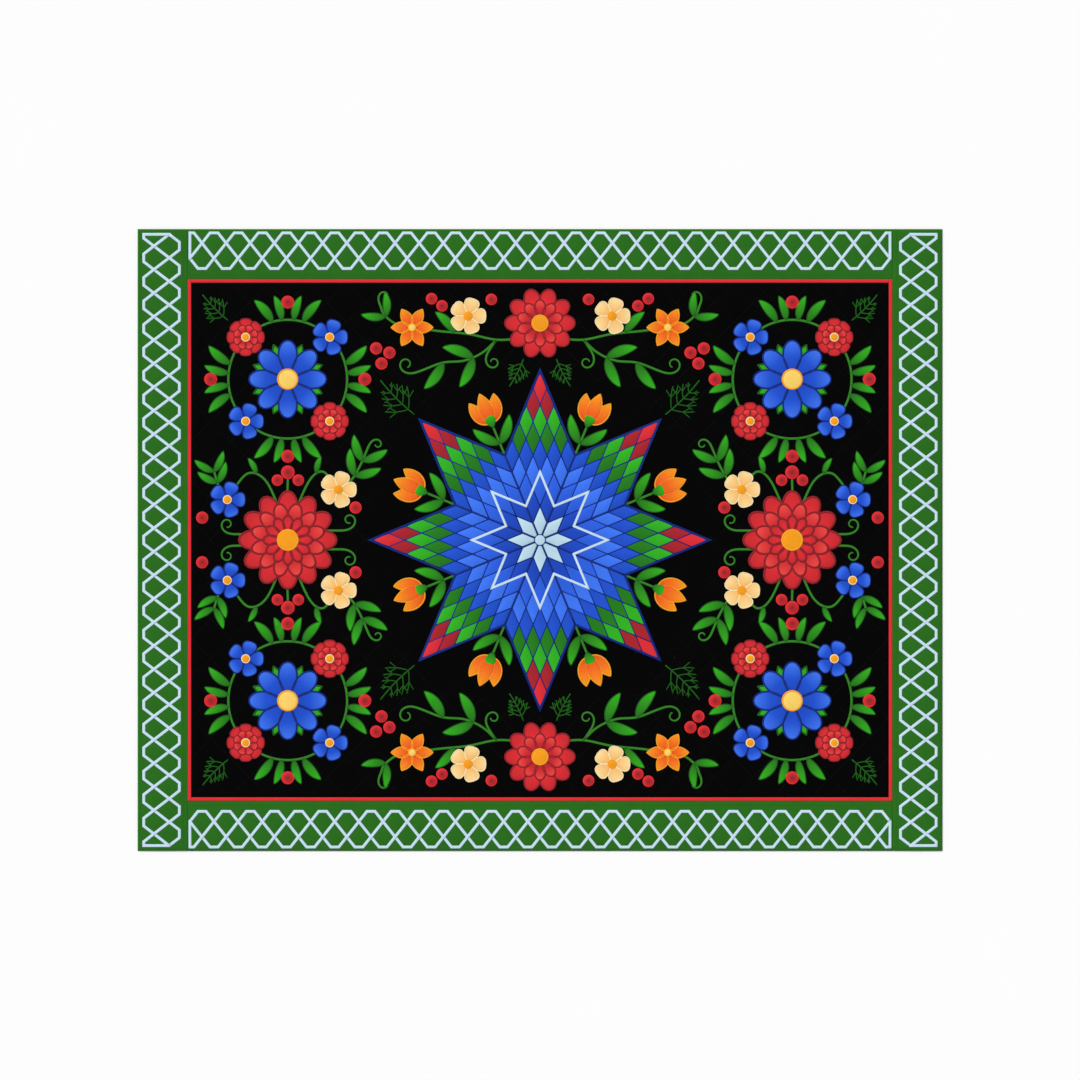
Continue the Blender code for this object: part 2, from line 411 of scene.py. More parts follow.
def weave(recipe):
    """Plain weave on Object coordinates: sin(x) sin(y) turns up and down at each crossing."""
    x, y = recipe.axes(recipe.place("Object"))
    return (x * WAVE).sine() * (y * WAVE).sine()


def slubs(recipe):
    """Thick threads: fine noise drawn out along x, plus the same along y."""
    lengthwise = recipe.noise(SLUBS_PER_METRE, (SLUB_STRETCH, 1, 1))
    return lengthwise + recipe.noise(SLUBS_PER_METRE, (1, SLUB_STRETCH, 1))


def cloudy(recipe, colour, depth):
    """The colour made a little lighter and darker by broad noise and by the thick threads."""
    clouds = recipe.noise(CLOUDS_PER_METRE, detail=4.0) - 0.5
    grain = slubs(recipe) - 1.0
    light = 1.0 + clouds * depth + grain * (depth * GRAIN_SHARE)
    return recipe.scaled(colour, light)


def woven(recipe, colour, depth):
    """Finish a recipe as cloth: a cloudy colour over a relief of half the weave plus the thick threads."""
    height = weave(recipe) * 0.5 + slubs(recipe)
    return recipe.finish(cloudy(recipe, colour, depth), height, WEAVE_DEPTH)


def cotton(name, code, roughness=0.85, specular=0.15, sheen=0.05, depth=0.22):
    """Cotton of one colour."""
    recipe = Recipe(name, roughness, specular, sheen)
    return woven(recipe, recipe.plain(dye(code)), depth)


def shaded_cotton(name, base, middle, tip, painted_side_shade=0.10):
    """Cotton dyed in a run of shades from a petal's base to its tip, with painted shade towards its sides.
    """
    recipe = Recipe(name, roughness=0.8, specular=0.18, sheen=0.06)
    u, v = recipe.axes(recipe.place("UV"))
    stops = [(0.0, dye(base)), (0.5, dye(middle)), (1.0, dye(tip))]
    run = recipe.node("ShaderNodeValToRGB", {"stops": stops}, {0: u})
    # painted shade: the colour darkens towards both sides of the piece
    side = (v * 2.0 - 1.0).absolute() ** 2.0
    return woven(recipe, recipe.scaled(run, 1.0 - side * painted_side_shade), PETAL_CLOUDS)


COTTON = {
    "black": cotton("black_cotton", "060607", roughness=0.9, specular=0.02, sheen=0.0, depth=0.35),
    "green": cotton("green_cotton", "256a16"),
    "red": cotton("red_cotton", "e12c32"),
    "blue_petal": shaded_cotton("blue_petal_cotton", "0f3fae", "1a50d0", "3f75f0"),
    "red_petal": shaded_cotton("red_petal_cotton", "b0202a", "e02a31", "c4242b"),
    "rose_heart": shaded_cotton("rose_heart_cotton", "8f1c24", "cf252c", "f04a44"),
    "orange_petal": shaded_cotton("orange_petal_cotton", "e2470f", "f5701a", "f99a1c"),
    "cream_petal": shaded_cotton("cream_petal_cotton", "f7b25c", "fdcb80", "fddfa0"),
    "leaf": shaded_cotton("leaf_cotton", "1f6a12", "2a9414", "2fb414"),
    "gold": cotton("gold_cotton", "f59d1b"),
    "pale_gold": cotton("pale_gold_cotton", "fbd268"),
    "berry": shaded_cotton("berry_cotton", "e02c33", "c8262d", "8c1d24", painted_side_shade=0.0),
    "ice": cotton("ice_cotton", "b9d9ea"),
}
print("cottons:", ", ".join(COTTON))

# %% [markdown]
# ## Thread and tape
# A petal's edge is covered with satin stitch, close turns of thread that shine a little and lie across
# the edge. Bias tape is woven cotton, so it is matt. On both the pattern follows the line that they
# were carried along, so it reads the UV map, where u is the distance along the line in metres.

# %% Satin stitch, cord and tape
SATIN_PITCH = 1.1 * MM
SATIN_DEPTH = 0.25 * MM
SATIN_SHADE = 0.30
SATIN_PATCHES_PER_METRE = 260
SATIN_PATCH_SHADE = 0.3


def satin(name, code):
    """Turns of thread across a line: |sin| of the distance along it, each turn a little different."""
    recipe = Recipe(name, roughness=0.55, specular=0.15, sheen=0.0)
    u, v = recipe.axes(recipe.place("UV"))
    turns = ((u + v * SATIN_PITCH) * (math.pi / SATIN_PITCH)).sine().absolute()
    patches = (recipe.noise(SATIN_PATCHES_PER_METRE) - 0.5) * SATIN_PATCH_SHADE
    # painted shade: each turn of thread is darker in the grooves beside it and lighter on its crest
    light = (1.0 - SATIN_SHADE / 2) + turns * SATIN_SHADE + patches
    return recipe.finish(recipe.scaled(recipe.plain(dye(code)), light), turns, SATIN_DEPTH)


def tape(name, code, depth, edge):
    """Woven tape with painted shade along its two edges: the colour times 1 - edge w^4.

    w runs from 0 in the middle to 1 at either edge. The UV map's v runs once round the tape's
    section, and the upper side takes five sixths of it.
    """
    recipe = Recipe(name, roughness=0.75, specular=0.2, sheen=0.06)
    _, v = recipe.axes(recipe.place("UV"))
    # painted shade: the tape darkens towards both of its edges
    shade = 1.0 - (v * 2.4 - 1.0).absolute() ** 4.0 * edge
    return woven(recipe, recipe.scaled(recipe.plain(dye(code)), shade), depth)


def stitch_thread(name, code):
    """Matt thread for running stitches."""
    return cotton(name, code, roughness=0.6, specular=0.2, sheen=0.0, depth=0.1)


THREAD = {
    "navy": satin("navy_thread", "07267a"),
    "dark_red": satin("dark_red_thread", "8a1c24"),
    "scarlet": satin("scarlet_thread", "e62a30"),
    "amber": satin("amber_thread", "f8a51e"),
    "pale": satin("pale_thread", "fde3ae"),
    "forest": satin("forest_thread", "175c0e"),
    "ice": tape("ice_tape", "c8e0f1", depth=0.12, edge=0.45),
    "vine": tape("vine_tape", "2d801a", depth=0.20, edge=0.40),
}
print("threads and tapes:", ", ".join(THREAD))

# %% [markdown]
# ## The black field
# The field is one panel of black cotton over batting, quilted in 3 in squares on point. It is a
# section across the quilt, with the ground's height along its top and a flat underside, carried along
# the quilt's length. Eight steps to half a diagonal let the stitch lines run through grid points.
# The backing is the plainest slab of all.

# %% Shape the field and the backing
FINE = 8


def slab(along, across, height, low=LAYER_BASE):
    """A flat-bottomed slab on straight axes: tops at (along, across, height), and two points below."""
    x, y = np.meshgrid(along, across, indexing="ij")
    top = np.stack([x, y, height(x, y)], axis=-1)
    under = top[:, [-1, 0]].copy()
    under[:, :, 2] = low
    points = np.concatenate([top, under], axis=1)[None]
    rows, columns = points.shape[1:3]
    return Grid(points, pairs(np.linspace(0, 1, rows)[:, None], np.linspace(0, 1, columns + 1)), False)


field_x = np.linspace(FIELD_LOW[0], FIELD_HIGH[0], HATCH_COLUMNS * FINE + 1)
field_y = np.linspace(FIELD_LOW[1], FIELD_HIGH[1], HATCH_ROWS * FINE + 1)
field_grid = slab(field_x, field_y, ground)
back_low, back_high = (np.array(corner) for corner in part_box("backing"))
backing_grid = slab(np.linspace(back_low[0], back_high[0], 5), np.linspace(back_low[1], back_high[1], 5),
                    lambda x, y: np.full_like(x, back_high[2]), low=back_low[2])
print("field grid:", field_grid.points.shape[1:3])

# %% [markdown]
# ## The green border
# Four green strips frame the quilt. The side strips run its full height, and the other two butt
# against them. Each one is a slab whose section rises from a turned hem at the outer edge to a soft
# crown. A flat braid of three tapes is sewn down on it through all layers, so the cloth puffs up in
# the gaps between the tapes. Each tape zigzags across the braid, and its turns are cut off flat. The
# braid stops a little before the ends of its strip.

# %% Measures of the border and its braid
CELL = 49.5 * MM
TAPE_WIDTH = 8.2 * MM
THIRD = 4 / 3
STEPS_ALONG = 9
STEPS_ACROSS = 7
SLANT = STEPS_ALONG / STEPS_ACROSS
GAP_PUFF = 1.4 * MM
HEM_EDGE = 0.8
HEM_RISE = 2.4
CROWN_RISE = 1.5
SEAM_DIP = 0.5
FADE_RATE = 4
HEM_ROUND = 3.0 * MM
EDGE_ROWS = np.array([0.0, 0.3, 1.0, 2.0, 3.5]) * MM

Braid = namedtuple("Braid", "repeats middle margin")
SIDE_BRAID = Braid(repeats=26, middle=67.0 * MM, margin=15.0 * MM)
END_BRAID = Braid(repeats=29, middle=60.5 * MM, margin=6.0 * MM)
Strip = namedtuple("Strip", "name start along across length width cells middle margin hemmed")


def border_strip(side, across, braid):
    """A border strip in its own directions: along its length, and across from its outer edge inwards."""
    low, high = (np.array(corner)[:2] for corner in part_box(f"border_{side}"))
    across = np.array(across, float)
    along = np.abs(across[::-1])
    start = np.where(across < 0, high, low) * np.abs(across) + low * along
    length = float(((high - low) * along).sum())
    width = float(((high - low) * np.abs(across)).sum())
    hemmed = bool(across[0])
    return Strip(side, start, along, across, length, width, braid.repeats * THIRD, braid.middle,
                 braid.margin, hemmed)


STRIPS = [
    border_strip("left", (1, 0), SIDE_BRAID),
    border_strip("right", (-1, 0), SIDE_BRAID),
    border_strip("bottom", (0, 1), END_BRAID),
    border_strip("top", (0, -1), END_BRAID),
]
print("border strips:", ", ".join(strip.name for strip in STRIPS))

# %% Height of a border strip
def crown(strip, s, t):
    """Section of a border strip, in mm: edge + (rise + crown sin(pi t)^0.7) hem + dip seam.

    Hem and seam are square roots of the distance from a hem or a seam, up to 1. The side strips end
    in hems at the quilt's corners, and the other two end in seams.
    """
    end = np.minimum(s, strip.length - s)
    from_hem = np.minimum(t, end) if strip.hemmed else t
    from_seam = strip.width - t if strip.hemmed else np.minimum(strip.width - t, end)
    hem = np.sqrt(np.clip(from_hem / HEM_ROUND, 0, 1))
    seam = np.sqrt(np.clip(from_seam / HEM_ROUND, 0, 1))
    arch = np.sin(math.pi * np.clip(t / strip.width, 0, 1)) ** 0.7
    return (HEM_EDGE + (HEM_RISE + CROWN_RISE * arch) * hem + SEAM_DIP * seam) * MM


def border_height(strip, s, t):
    """The crown, plus a pillow in each gap of the braid, fading out at the braid's edges and ends.

    x counts cells along the braid and y runs from -1 to 1 across it. The tapes lie where
    x - y / SLANT - 1 or x + y / SLANT + 1 is a whole number of thirds of a zigzag.
    """
    x = (s - strip.margin) * strip.cells / (strip.length - 2 * strip.margin)
    y = (t - strip.middle) / CELL
    sideways = np.clip((1 - np.abs(y)) * FADE_RATE, 0, 1)
    fade = sideways * np.clip(np.minimum(x, strip.cells - x) * FADE_RATE, 0, 1)
    gaps = pillow((x - y / SLANT - 1) / THIRD) * pillow((x + y / SLANT + 1) / THIRD)
    return crown(strip, s, t) + GAP_PUFF * gaps * fade


def turned(strip, points):
    """Points in a strip's own directions (along, across, height) placed on the quilt."""
    plan = strip.start + points[..., :1] * strip.along + points[..., 1:2] * strip.across
    return np.concatenate([plan, points[..., 2:]], axis=-1)


peak = crown(STRIPS[0], 1.0, STRIPS[0].width / 2)
print("height of the left strip's crown:", round(float(peak) / MM, 1), "mm")

# %% Sew the border, the flange and the field
def border_grid(strip):
    """The slab of one strip, with its grid points on the lines of the braid."""
    steps = round(strip.cells * STEPS_ALONG)
    along = np.concatenate([
        EDGE_ROWS,
        np.linspace(strip.margin, strip.length - strip.margin, steps + 1),
        strip.length - EDGE_ROWS[::-1],
    ])
    across = np.concatenate([
        EDGE_ROWS,
        [7.0 * MM],
        np.linspace(strip.middle - CELL, strip.middle + CELL, 2 * STEPS_ACROSS + 1),
        np.linspace(strip.middle + CELL, strip.width, 6)[1:-1],
        strip.width - EDGE_ROWS[2::-1],
    ])
    grid = slab(along, across, lambda s, t: border_height(strip, s, t))
    return grid._replace(points=turned(strip, grid.points))


def flange_grid(side):
    """A narrow folded strip of cloth with a round back: over half a turn its height goes with sin^0.6."""
    low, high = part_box(f"flange_{side}")
    low, high = np.array(low), np.array(high)
    upright = high[1] - low[1] > high[0] - low[0]
    across = 0 if upright else 1
    width = high[across] - low[across]
    turn = np.linspace(0, math.pi, 9)
    spots = low[across] + width * (1 - np.cos(turn)) / 2
    ends = np.array([low[1 - across], low[1 - across] + MM, high[1 - across] - MM, high[1 - across]])
    rise = SEAM + (high[2] - SEAM) * np.sin(turn) ** 0.6

    def height(first, second):
        return np.interp(first if upright else second, spots, rise)

    return slab(spots, ends, height) if upright else slab(ends, spots, height)


for strip in STRIPS:
    name = f"border_cloth_{strip.name}"
    add_panel(name, border_grid(strip), COTTON["green"],
                                          f"border_{strip.name}")
add_cloth("flange_cloth", [flange_grid(strip.name) for strip in STRIPS], COTTON["red"],
          replaces=[f"flange_{strip.name}" for strip in STRIPS])
field_cloth = add_panel("field_cloth", field_grid, COTTON["black"], "field")
backing_cloth = add_panel("backing_cloth", backing_grid, COTTON["black"], "backing")

# %% [markdown]
# ## Lines of cord and tape
# Vines, outlines, seams and the braid are one thing to a modeller: a small flat section carried
# along a path in plan, and laid on the cloth below. Where a path turns, the section is set square to
# the mean of the two directions and widened, as a mitre is, so that the tape keeps its width.

# %% Carry a section along paths
FLAT_TAPE = np.array([(-1.0, 0.0), (-0.88, 0.8), (-0.4, 1.0), (0.4, 1.0), (0.88, 0.8), (1.0, 0.0)])
ROUND_CORD = np.array([(-1.0, 0.0), (-0.72, 0.7), (0.0, 1.0), (0.72, 0.7), (1.0, 0.0)])
QUARTERS = [(sx, sy) for sx in (1, -1) for sy in (1, -1)]


def carry(paths, width, height, section, closed, rise=0.0, surface=ground, mitre=1.6):
    """A section along each path (copies, points, 2): sideways by the mitred normal, up from the surface.

    The normal at a point is square to the sum of the two unit directions there, and its length is
    1 / cos(half the turn), up to the mitre's limit. Height = surface + rise + section height. The
    width may be one number, or one for each path or each of its points.
    """
    if closed:
        after = np.roll(paths, -1, axis=1) - paths
        before = np.roll(after, 1, axis=1)
    else:
        step = np.diff(paths, axis=1)
        after = np.concatenate([step, step[:, -1:]], axis=1)
        before = np.concatenate([step[:, :1], step], axis=1)
    run = np.linalg.norm(after, axis=-1, keepdims=True)
    after = after / run
    before = before / np.linalg.norm(before, axis=-1, keepdims=True)
    mean = after + before
    mean = mean / np.maximum(np.linalg.norm(mean, axis=-1, keepdims=True), 1e-9)
    cosine = np.clip((mean * after).sum(axis=-1, keepdims=True), 1 / mitre, 1)
    normal = np.stack([-mean[..., 1], mean[..., 0]], axis=-1) / cosine
    half = np.broadcast_to(width, paths.shape[:2])[:, :, None, None] / 2
    plan = paths[:, :, None] + normal[:, :, None] * half * section[:, :1]
    rise = np.broadcast_to(rise, paths.shape[:2])[..., None]
    z = surface(plan[..., 0], plan[..., 1]) + rise + section[:, 1] * height
    points = raised(plan, z)
    distance = np.cumsum(run[..., 0], axis=1) - run[..., 0]
    if closed:
        distance = np.concatenate([distance, distance[:, -1:] + run[:, -1]], axis=1)
    return Grid(points, pairs(distance[..., None], np.linspace(0, 1, len(section) + 1)), closed)


def mirrored(plan):
    """Paths of one quarter of the quilt, in all four quarters."""
    return np.concatenate([plan * np.array(signs) for signs in QUARTERS])


def circle(places, share, count):
    """Round paths about places (x, y, reach), whose radius is a share of the reach."""
    angle = np.arange(count) * math.tau / count
    return places[:, None, :2] + unit(angle) * places[:, None, 2:] * share


print("points in a section of tape and of cord:", len(FLAT_TAPE), len(ROUND_CORD))

# %% [markdown]
# ## The pieced star
# A star of eight big diamonds is an old and widely shared quilt pattern. Each diamond is sewn from
# rows of small ones, and the colours run in rings from the middle to the tips. One grid covers a big
# diamond: the height dips at every seam, and each face takes its ring's colour. Eight grids follow by
# turning the first.

# %% Shape the star's diamonds
PATCH_STEPS = 12
STAR_SEAM = 5.0 * MM
STAR_RISE = 1.7 * MM
STAR_EDGE = 0.35 * MM
STAR_EDGE_RISE = 0.15 * MM
STAR_HEM = 2.0 * MM
HALF_TURN = math.pi / STAR_POINTS
SIDE = STAR_REACH / (2 * math.cos(HALF_TURN))
RING_DYES = ["b9d9ea", "1746bd", "2a5fe0", "3b74f2", "1b50cc", "1f7a16", "2fb01c", "a81f28", "dd2b32"]


def rhomb(angle, a, b):
    """Plan point at shares a and b along the two sides of the big diamond that points at an angle."""
    first = np.array([math.cos(angle - HALF_TURN), math.sin(angle - HALF_TURN)])
    second = np.array([math.cos(angle + HALF_TURN), math.sin(angle + HALF_TURN)])
    return SIDE * (a[..., None] * first + b[..., None] * second)


def star_grid(index):
    """One big diamond: pillows between its seams, and an edge that is turned under.

    Height = edge + a square root over the hem + a pillow in each patch. The edge itself rises a
    little at the middle of each patch.
    """
    shares = np.linspace(0, 1, PATCHES * PATCH_STEPS + 1)
    a, b = np.meshgrid(shares, shares, indexing="ij")
    plan = rhomb(index * math.tau / STAR_POINTS, a, b)
    edge = np.minimum.reduce([a, b, 1 - a, 1 - b]) * SIDE
    turned_under = np.sqrt(np.clip(edge / STAR_HEM, 0, 1))
    z = SEAM + STAR_EDGE + (STAR_SEAM - SEAM) * turned_under
    z = z + STAR_EDGE_RISE * (pillow(a * PATCHES) + pillow(b * PATCHES)) * (1 - turned_under)
    z = z + STAR_RISE * pillow(a * PATCHES) * pillow(b * PATCHES)
    top = raised(plan, z)
    under = top[:, [-1, 0]].copy()
    under[:, :, 2] = SEAM + GAP
    points = np.concatenate([top, under], axis=1)[None]
    return Grid(points, pairs(shares[:, None], np.append(shares, [1.0, 0.0, 0.0])), False)


print("side of a big diamond:", round(SIDE / MM, 1), "mm")

# %% Dye and sew on the diamonds
PATCH_DARK = 0.84
PATCH_RUN = 0.14


def patch_cotton():
    """Cotton in each patch's own colour, lighter towards the patch's outer corner."""
    recipe = Recipe("star_patch_cotton", roughness=0.8, specular=0.18, sheen=0.06)
    colour = recipe.node("ShaderNodeAttribute", {"attribute_name": "patch_colour"})
    u, v = recipe.axes(recipe.place("UV"))
    shade = PATCH_DARK + ((u * PATCHES).fraction() + (v * PATCHES).fraction()) * PATCH_RUN
    return woven(recipe, recipe.scaled(colour, shade), PETAL_CLOUDS)


def colour_patches(piece):
    """Give every face the colour of its ring: the sum of its patch numbers from the star's middle."""
    mesh = piece.data
    centres = np.zeros(len(mesh.polygons) * 3)
    mesh.polygons.foreach_get("center", centres)
    x, y = centres.reshape(-1, 3)[:, :2].T
    angle = np.arctan2(y, x)
    point = np.round(angle / (2 * HALF_TURN)) * 2 * HALF_TURN
    along, aside = np.hypot(x, y) * np.cos(angle - point), np.hypot(x, y) * np.sin(angle - point)
    a = along / (2 * SIDE * math.cos(HALF_TURN)) - aside / (2 * SIDE * math.sin(HALF_TURN))
    b = along / (2 * SIDE * math.cos(HALF_TURN)) + aside / (2 * SIDE * math.sin(HALF_TURN))
    row, column = (np.clip(share * PATCHES, 0, PATCHES - 0.01).astype(int) for share in (a, b))
    totals = np.zeros(len(mesh.polygons), int)
    mesh.polygons.foreach_get("loop_total", totals)
    dyes = np.array([dye(code) for code in RING_DYES])
    layer = mesh.color_attributes.new("patch_colour", "FLOAT_COLOR", "CORNER")
    layer.data.foreach_set("color", np.repeat(dyes[row + column], totals, axis=0).ravel())


star_cotton = patch_cotton()
for index in range(STAR_POINTS):
    diamond = add_cloth(f"star_patches_{index + 1}", [star_grid(index)], star_cotton,
                        replaces=[f"star_point_{index + 1}"])
    colour_patches(diamond)

# %% [markdown]
# ## The star's seams
# Narrow bias tape in dark blue covers the seams round the eight big diamonds, and a fine cord covers
# those between the small ones. The outline is one closed path through tips and notches. Straight lines
# across the diamonds give the rest. The same outline, made smaller, takes a pale tape round the heart.

# %% Lay tape on the star's seams
OUTLINE_TAPE = 8.0 * MM
RAY_TAPE = 6.0 * MM
SEAM_TAPE = 3.8 * MM
HEART_TAPE = 7.0 * MM
HEART_SHARE = 2 / PATCHES
TIP_MITRE = 2.6
RAY_START = 0.012
RAY_POINTS = 12
SEAM_ENDS = np.array([0.004, 0.996])


def star_face(x, y):
    """Height of the star's seams, which the tape lies on."""
    return np.full_like(x, STAR_SEAM)


def star_tape(paths, width, height, section=FLAT_TAPE, closed=False, rise=0.0):
    """Tape or cord on the star's seams, with mitres as long as the sharp tips need."""
    return carry(paths, width, height, section, closed, rise, star_face, TIP_MITRE)


turns = np.arange(2 * STAR_POINTS) * HALF_TURN
reach = np.where(np.arange(2 * STAR_POINTS) % 2 == 0, STAR_REACH, SIDE)
outline = (unit(turns) * reach[:, None])[None]
rays = unit(turns[1::2])[:, None] * np.linspace(RAY_START, SIDE, RAY_POINTS)[:, None]
seam_paths = []
for index in range(STAR_POINTS):
    angle = index * math.tau / STAR_POINTS
    for step in range(1, PATCHES):
        level = np.full(2, step / PATCHES)
        seam_paths += [rhomb(angle, level, SEAM_ENDS), rhomb(angle, SEAM_ENDS, level)]
seam_paths = np.stack(seam_paths)
sewn_on = [
    add_trim("star_outline_tape", [
        star_tape(outline, OUTLINE_TAPE, 1.5 * MM, closed=True, rise=-0.4 * MM),
        star_tape(rays, RAY_TAPE, 1.2 * MM),
    ], THREAD["navy"]),
    add_trim("star_seam_cord", [
        star_tape(seam_paths, SEAM_TAPE, 1.0 * MM, ROUND_CORD, rise=0.1 * MM),
    ], THREAD["navy"]),
    add_trim("star_heart_tape", [
        star_tape(outline * HEART_SHARE, HEART_TAPE, 1.2 * MM, closed=True, rise=0.5 * MM),
    ], THREAD["ice"]),
]

# %% [markdown]
# ## Petals and leaves
# Petals, leaves, buds and calyxes are all one shape: a pad that is widest somewhere along its middle
# line. Each is cut from cotton, its edge is turned under and it is stitched down, so it domes a
# little. A formula for the half width gives round and pointed ones alike, and bending the middle line
# gives a leaf its curve.

# %% The petal shape
Shape = namedtuple("Shape", "belly blunt")
ROUND_PETAL = Shape(belly=0.95, blunt=0.42)
LONG_PETAL = Shape(belly=0.80, blunt=0.55)
POINTED_PETAL = Shape(belly=0.75, blunt=0.95)
LEAF_SHAPE = Shape(belly=0.75, blunt=0.85)
PETAL_ROWS = 15
PETAL_COLUMNS = 9
PETAL_ENDS = (0.05, 0.95)
UNDER_SHARE = 0.7


def lobes(base, heading, length, half_width, shape, crown_height, lift, bend=0.0):
    """Petals, one for each base point (x, y), all given in arrays of one length.

    Half width at u is W (u/m)^belly ((1-u)/(1-m))^blunt with m = belly/(belly+blunt). The middle line
    turns by bend from base to tip. The top stands lift + crown sqrt(1 - v^2) (4u(1-u))^0.35 over the
    ground, with v from side to side.
    """
    heading, length, half_width, lift, bend = (
        np.broadcast_to(np.asarray(value, float), len(base))[:, None]
        for value in (heading, length, half_width, lift, bend)
    )
    u = (1 - np.cos(math.pi * np.linspace(*PETAL_ENDS, PETAL_ROWS))) / 2
    belly, blunt = shape
    widest = belly / (belly + blunt)
    half = half_width * (u / widest) ** belly * ((1 - u) / (1 - widest)) ** blunt
    turn = np.where(np.abs(bend) < 1e-4, 1e-4, bend)
    start = heading - turn / 2
    direction = start + turn * u
    middle = np.stack([
        (np.sin(direction) - np.sin(start)) / turn,
        (np.cos(start) - np.cos(direction)) / turn,
    ], axis=-1) * length[..., None] + base[:, None]
    side = np.stack([-np.sin(direction), np.cos(direction)], axis=-1)
    v = -np.cos(math.pi * np.arange(PETAL_COLUMNS) / (PETAL_COLUMNS - 1))
    v = np.append(v, [UNDER_SHARE, -UNDER_SHARE])
    plan = middle[:, :, None] + side[:, :, None] * (half[..., None] * v)[..., None]
    dome = np.append(np.sqrt(np.clip(1 - v[:PETAL_COLUMNS] ** 2, 0, 1)), [0.0, 0.0])
    taper = (4 * u * (1 - u)) ** 0.35
    base_height = np.append(np.full(PETAL_COLUMNS, 1.0), [0.0, 0.0])
    z = ground(plan[..., 0], plan[..., 1]) + GAP
    z = z + lift[..., None] * base_height + crown_height * taper[:, None] * dome
    points = raised(plan, z)
    return Grid(points, pairs(u[:, None], np.append((v + 1) / 2, 0.0)), False)


def rims(grid):
    """Closed paths round petals: up one side, through the tip, down the other and through the base."""
    left = grid.points[:, 1:-1, 0, :2]
    right = grid.points[:, 1:-1, PETAL_COLUMNS - 1, :2]
    ends = (grid.points[:, :, 0, :2] + grid.points[:, :, PETAL_COLUMNS - 1, :2]) / 2
    return np.concatenate([left, ends[:, -1:], right[:, ::-1], ends[:, :1]], axis=1)


def petal_ring(places, count, inner, outer, half_width, shape, crown_height, lift, turn):
    """Petals set round each flower (x, y, reach), with sizes as shares of its reach."""
    angle = turn + np.arange(count) * math.tau / count
    base = (places[:, None, :2] + unit(angle) * places[:, None, 2:] * inner).reshape(-1, 2)
    heading = np.tile(angle, len(places))
    size = np.repeat(places[:, 2], count)
    return lobes(base, heading, size * (outer - inner), size * half_width, shape, crown_height, lift)


print("points along a petal and round its section:", PETAL_ROWS, PETAL_COLUMNS + 2)

# %% [markdown]
# ## The flowers
# A flower is built in rounds, the widest first, and each round is lifted a little so that it lies on
# the last. The table gives every round once: how many petals, where they start and end as shares of
# the flower's reach, their half width, their cloth and the thread round their edges. A round heart
# covers the petals' inner ends, and in the star's middle a covered button hides the ends of the tapes.

# %% The rounds of each flower
Round = namedtuple("Round", "flower count inner outer half_width shape crown lift turn cloth thread")
ROUNDS = [
    Round("blue_bloom", 8, 0.16, 0.95, 0.150, POINTED_PETAL, 0.7, 0.3, 0.5, "leaf", "forest"),
    Round("blue_bloom", 8, 0.12, 1.00, 0.235, LONG_PETAL, 1.2, 1.4, 0.0, "blue_petal", "navy"),
    Round("red_rose", 8, 0.20, 1.00, 0.330, ROUND_PETAL, 1.0, 1.4, 0.0, "red_petal", "dark_red"),
    Round("red_rose", 8, 0.10, 0.66, 0.210, ROUND_PETAL, 1.0, 2.2, 0.5, "rose_heart", "dark_red"),
    Round("dahlia", 12, 0.20, 1.00, 0.195, LONG_PETAL, 1.1, 1.3, 0.0, "red_petal", "dark_red"),
    Round("dahlia", 12, 0.15, 0.76, 0.145, LONG_PETAL, 1.0, 2.0, 0.5, "rose_heart", "dark_red"),
    Round("dahlia", 12, 0.10, 0.50, 0.100, LONG_PETAL, 0.9, 2.7, 0.0, "red_petal", "dark_red"),
    Round("zinnia", 10, 0.18, 1.00, 0.230, LONG_PETAL, 1.1, 1.3, 0.0, "red_petal", "dark_red"),
    Round("zinnia", 10, 0.12, 0.66, 0.155, LONG_PETAL, 1.0, 2.0, 0.5, "rose_heart", "dark_red"),
    Round("lily", 6, 0.08, 1.00, 0.260, POINTED_PETAL, 1.1, 1.5, 0.0, "orange_petal", "amber"),
    Round("cream_blossom", 5, 0.10, 1.00, 0.400, ROUND_PETAL, 1.0, 1.5, 0.0, "cream_petal", "pale"),
    Round("forget_me_not", 5, 0.10, 1.00, 0.400, ROUND_PETAL, 1.0, 1.5, 0.0, "blue_petal", "navy"),
]
RIM_SHARE = 0.05
RIM_LEAST = 3.4 * MM
RIM_HEIGHT = 1.0 * MM


def rim_width(places, copies=1):
    """Width of the satin stitch round each flower's parts: a share of its reach, with a least width."""
    return np.repeat(np.maximum(places[:, 2] * RIM_SHARE, RIM_LEAST), copies)[:, None]


def rim_thread(paths, width, rise, height=RIM_HEIGHT):
    """Satin stitch round a piece of cloth: a round cord on closed paths."""
    return carry(paths, width, height, ROUND_CORD, True, rise=rise)


def flower_rounds(kind):
    """The petals and the rims of one kind of flower, as (cloth, grid) and (thread, grid) pairs."""
    petals, edges = [], []
    for row in ROUNDS:
        if row.flower != kind:
            continue
        turn = row.turn * math.tau / row.count
        grid = petal_ring(PLACES[kind], row.count, row.inner, row.outer, row.half_width, row.shape,
                          row.crown * MM, row.lift * MM, turn)
        petals.append((row.cloth, grid))
        width = rim_width(PLACES[kind], row.count)
        edges.append((row.thread, rim_thread(rims(grid), width, GAP + row.lift * MM)))
    return petals, edges


print("rounds of petals:", len(ROUNDS))

# %% Hearts and the star's button
PAD_SIDES = 28
PAD_ANGLES = (0.0, 0.0, 25.0, 50.0, 70.0, 84.0)


def domes(places, share, height, lift):
    """Round pads: rings whose radius is share * reach * cos(t), at a height of sin(t) over their rim."""
    t = np.radians(PAD_ANGLES)
    radius = np.cos(t) * share
    z = np.append([0.0, lift], lift + height * np.sin(t[2:]))
    angle = np.arange(PAD_SIDES) * math.tau / PAD_SIDES
    plan = places[:, None, None, :2] + places[:, None, None, 2:] * radius[:, None, None] * unit(angle)
    middle = ground(places[:, 0], places[:, 1])[:, None, None] + GAP
    level = np.broadcast_to(middle + z[:, None], plan.shape[:3])
    points = raised(plan, level)
    out = np.linspace(0, 1, len(t))
    return Grid(points, pairs(out[:, None], np.linspace(0, 1, PAD_SIDES + 1)), False)


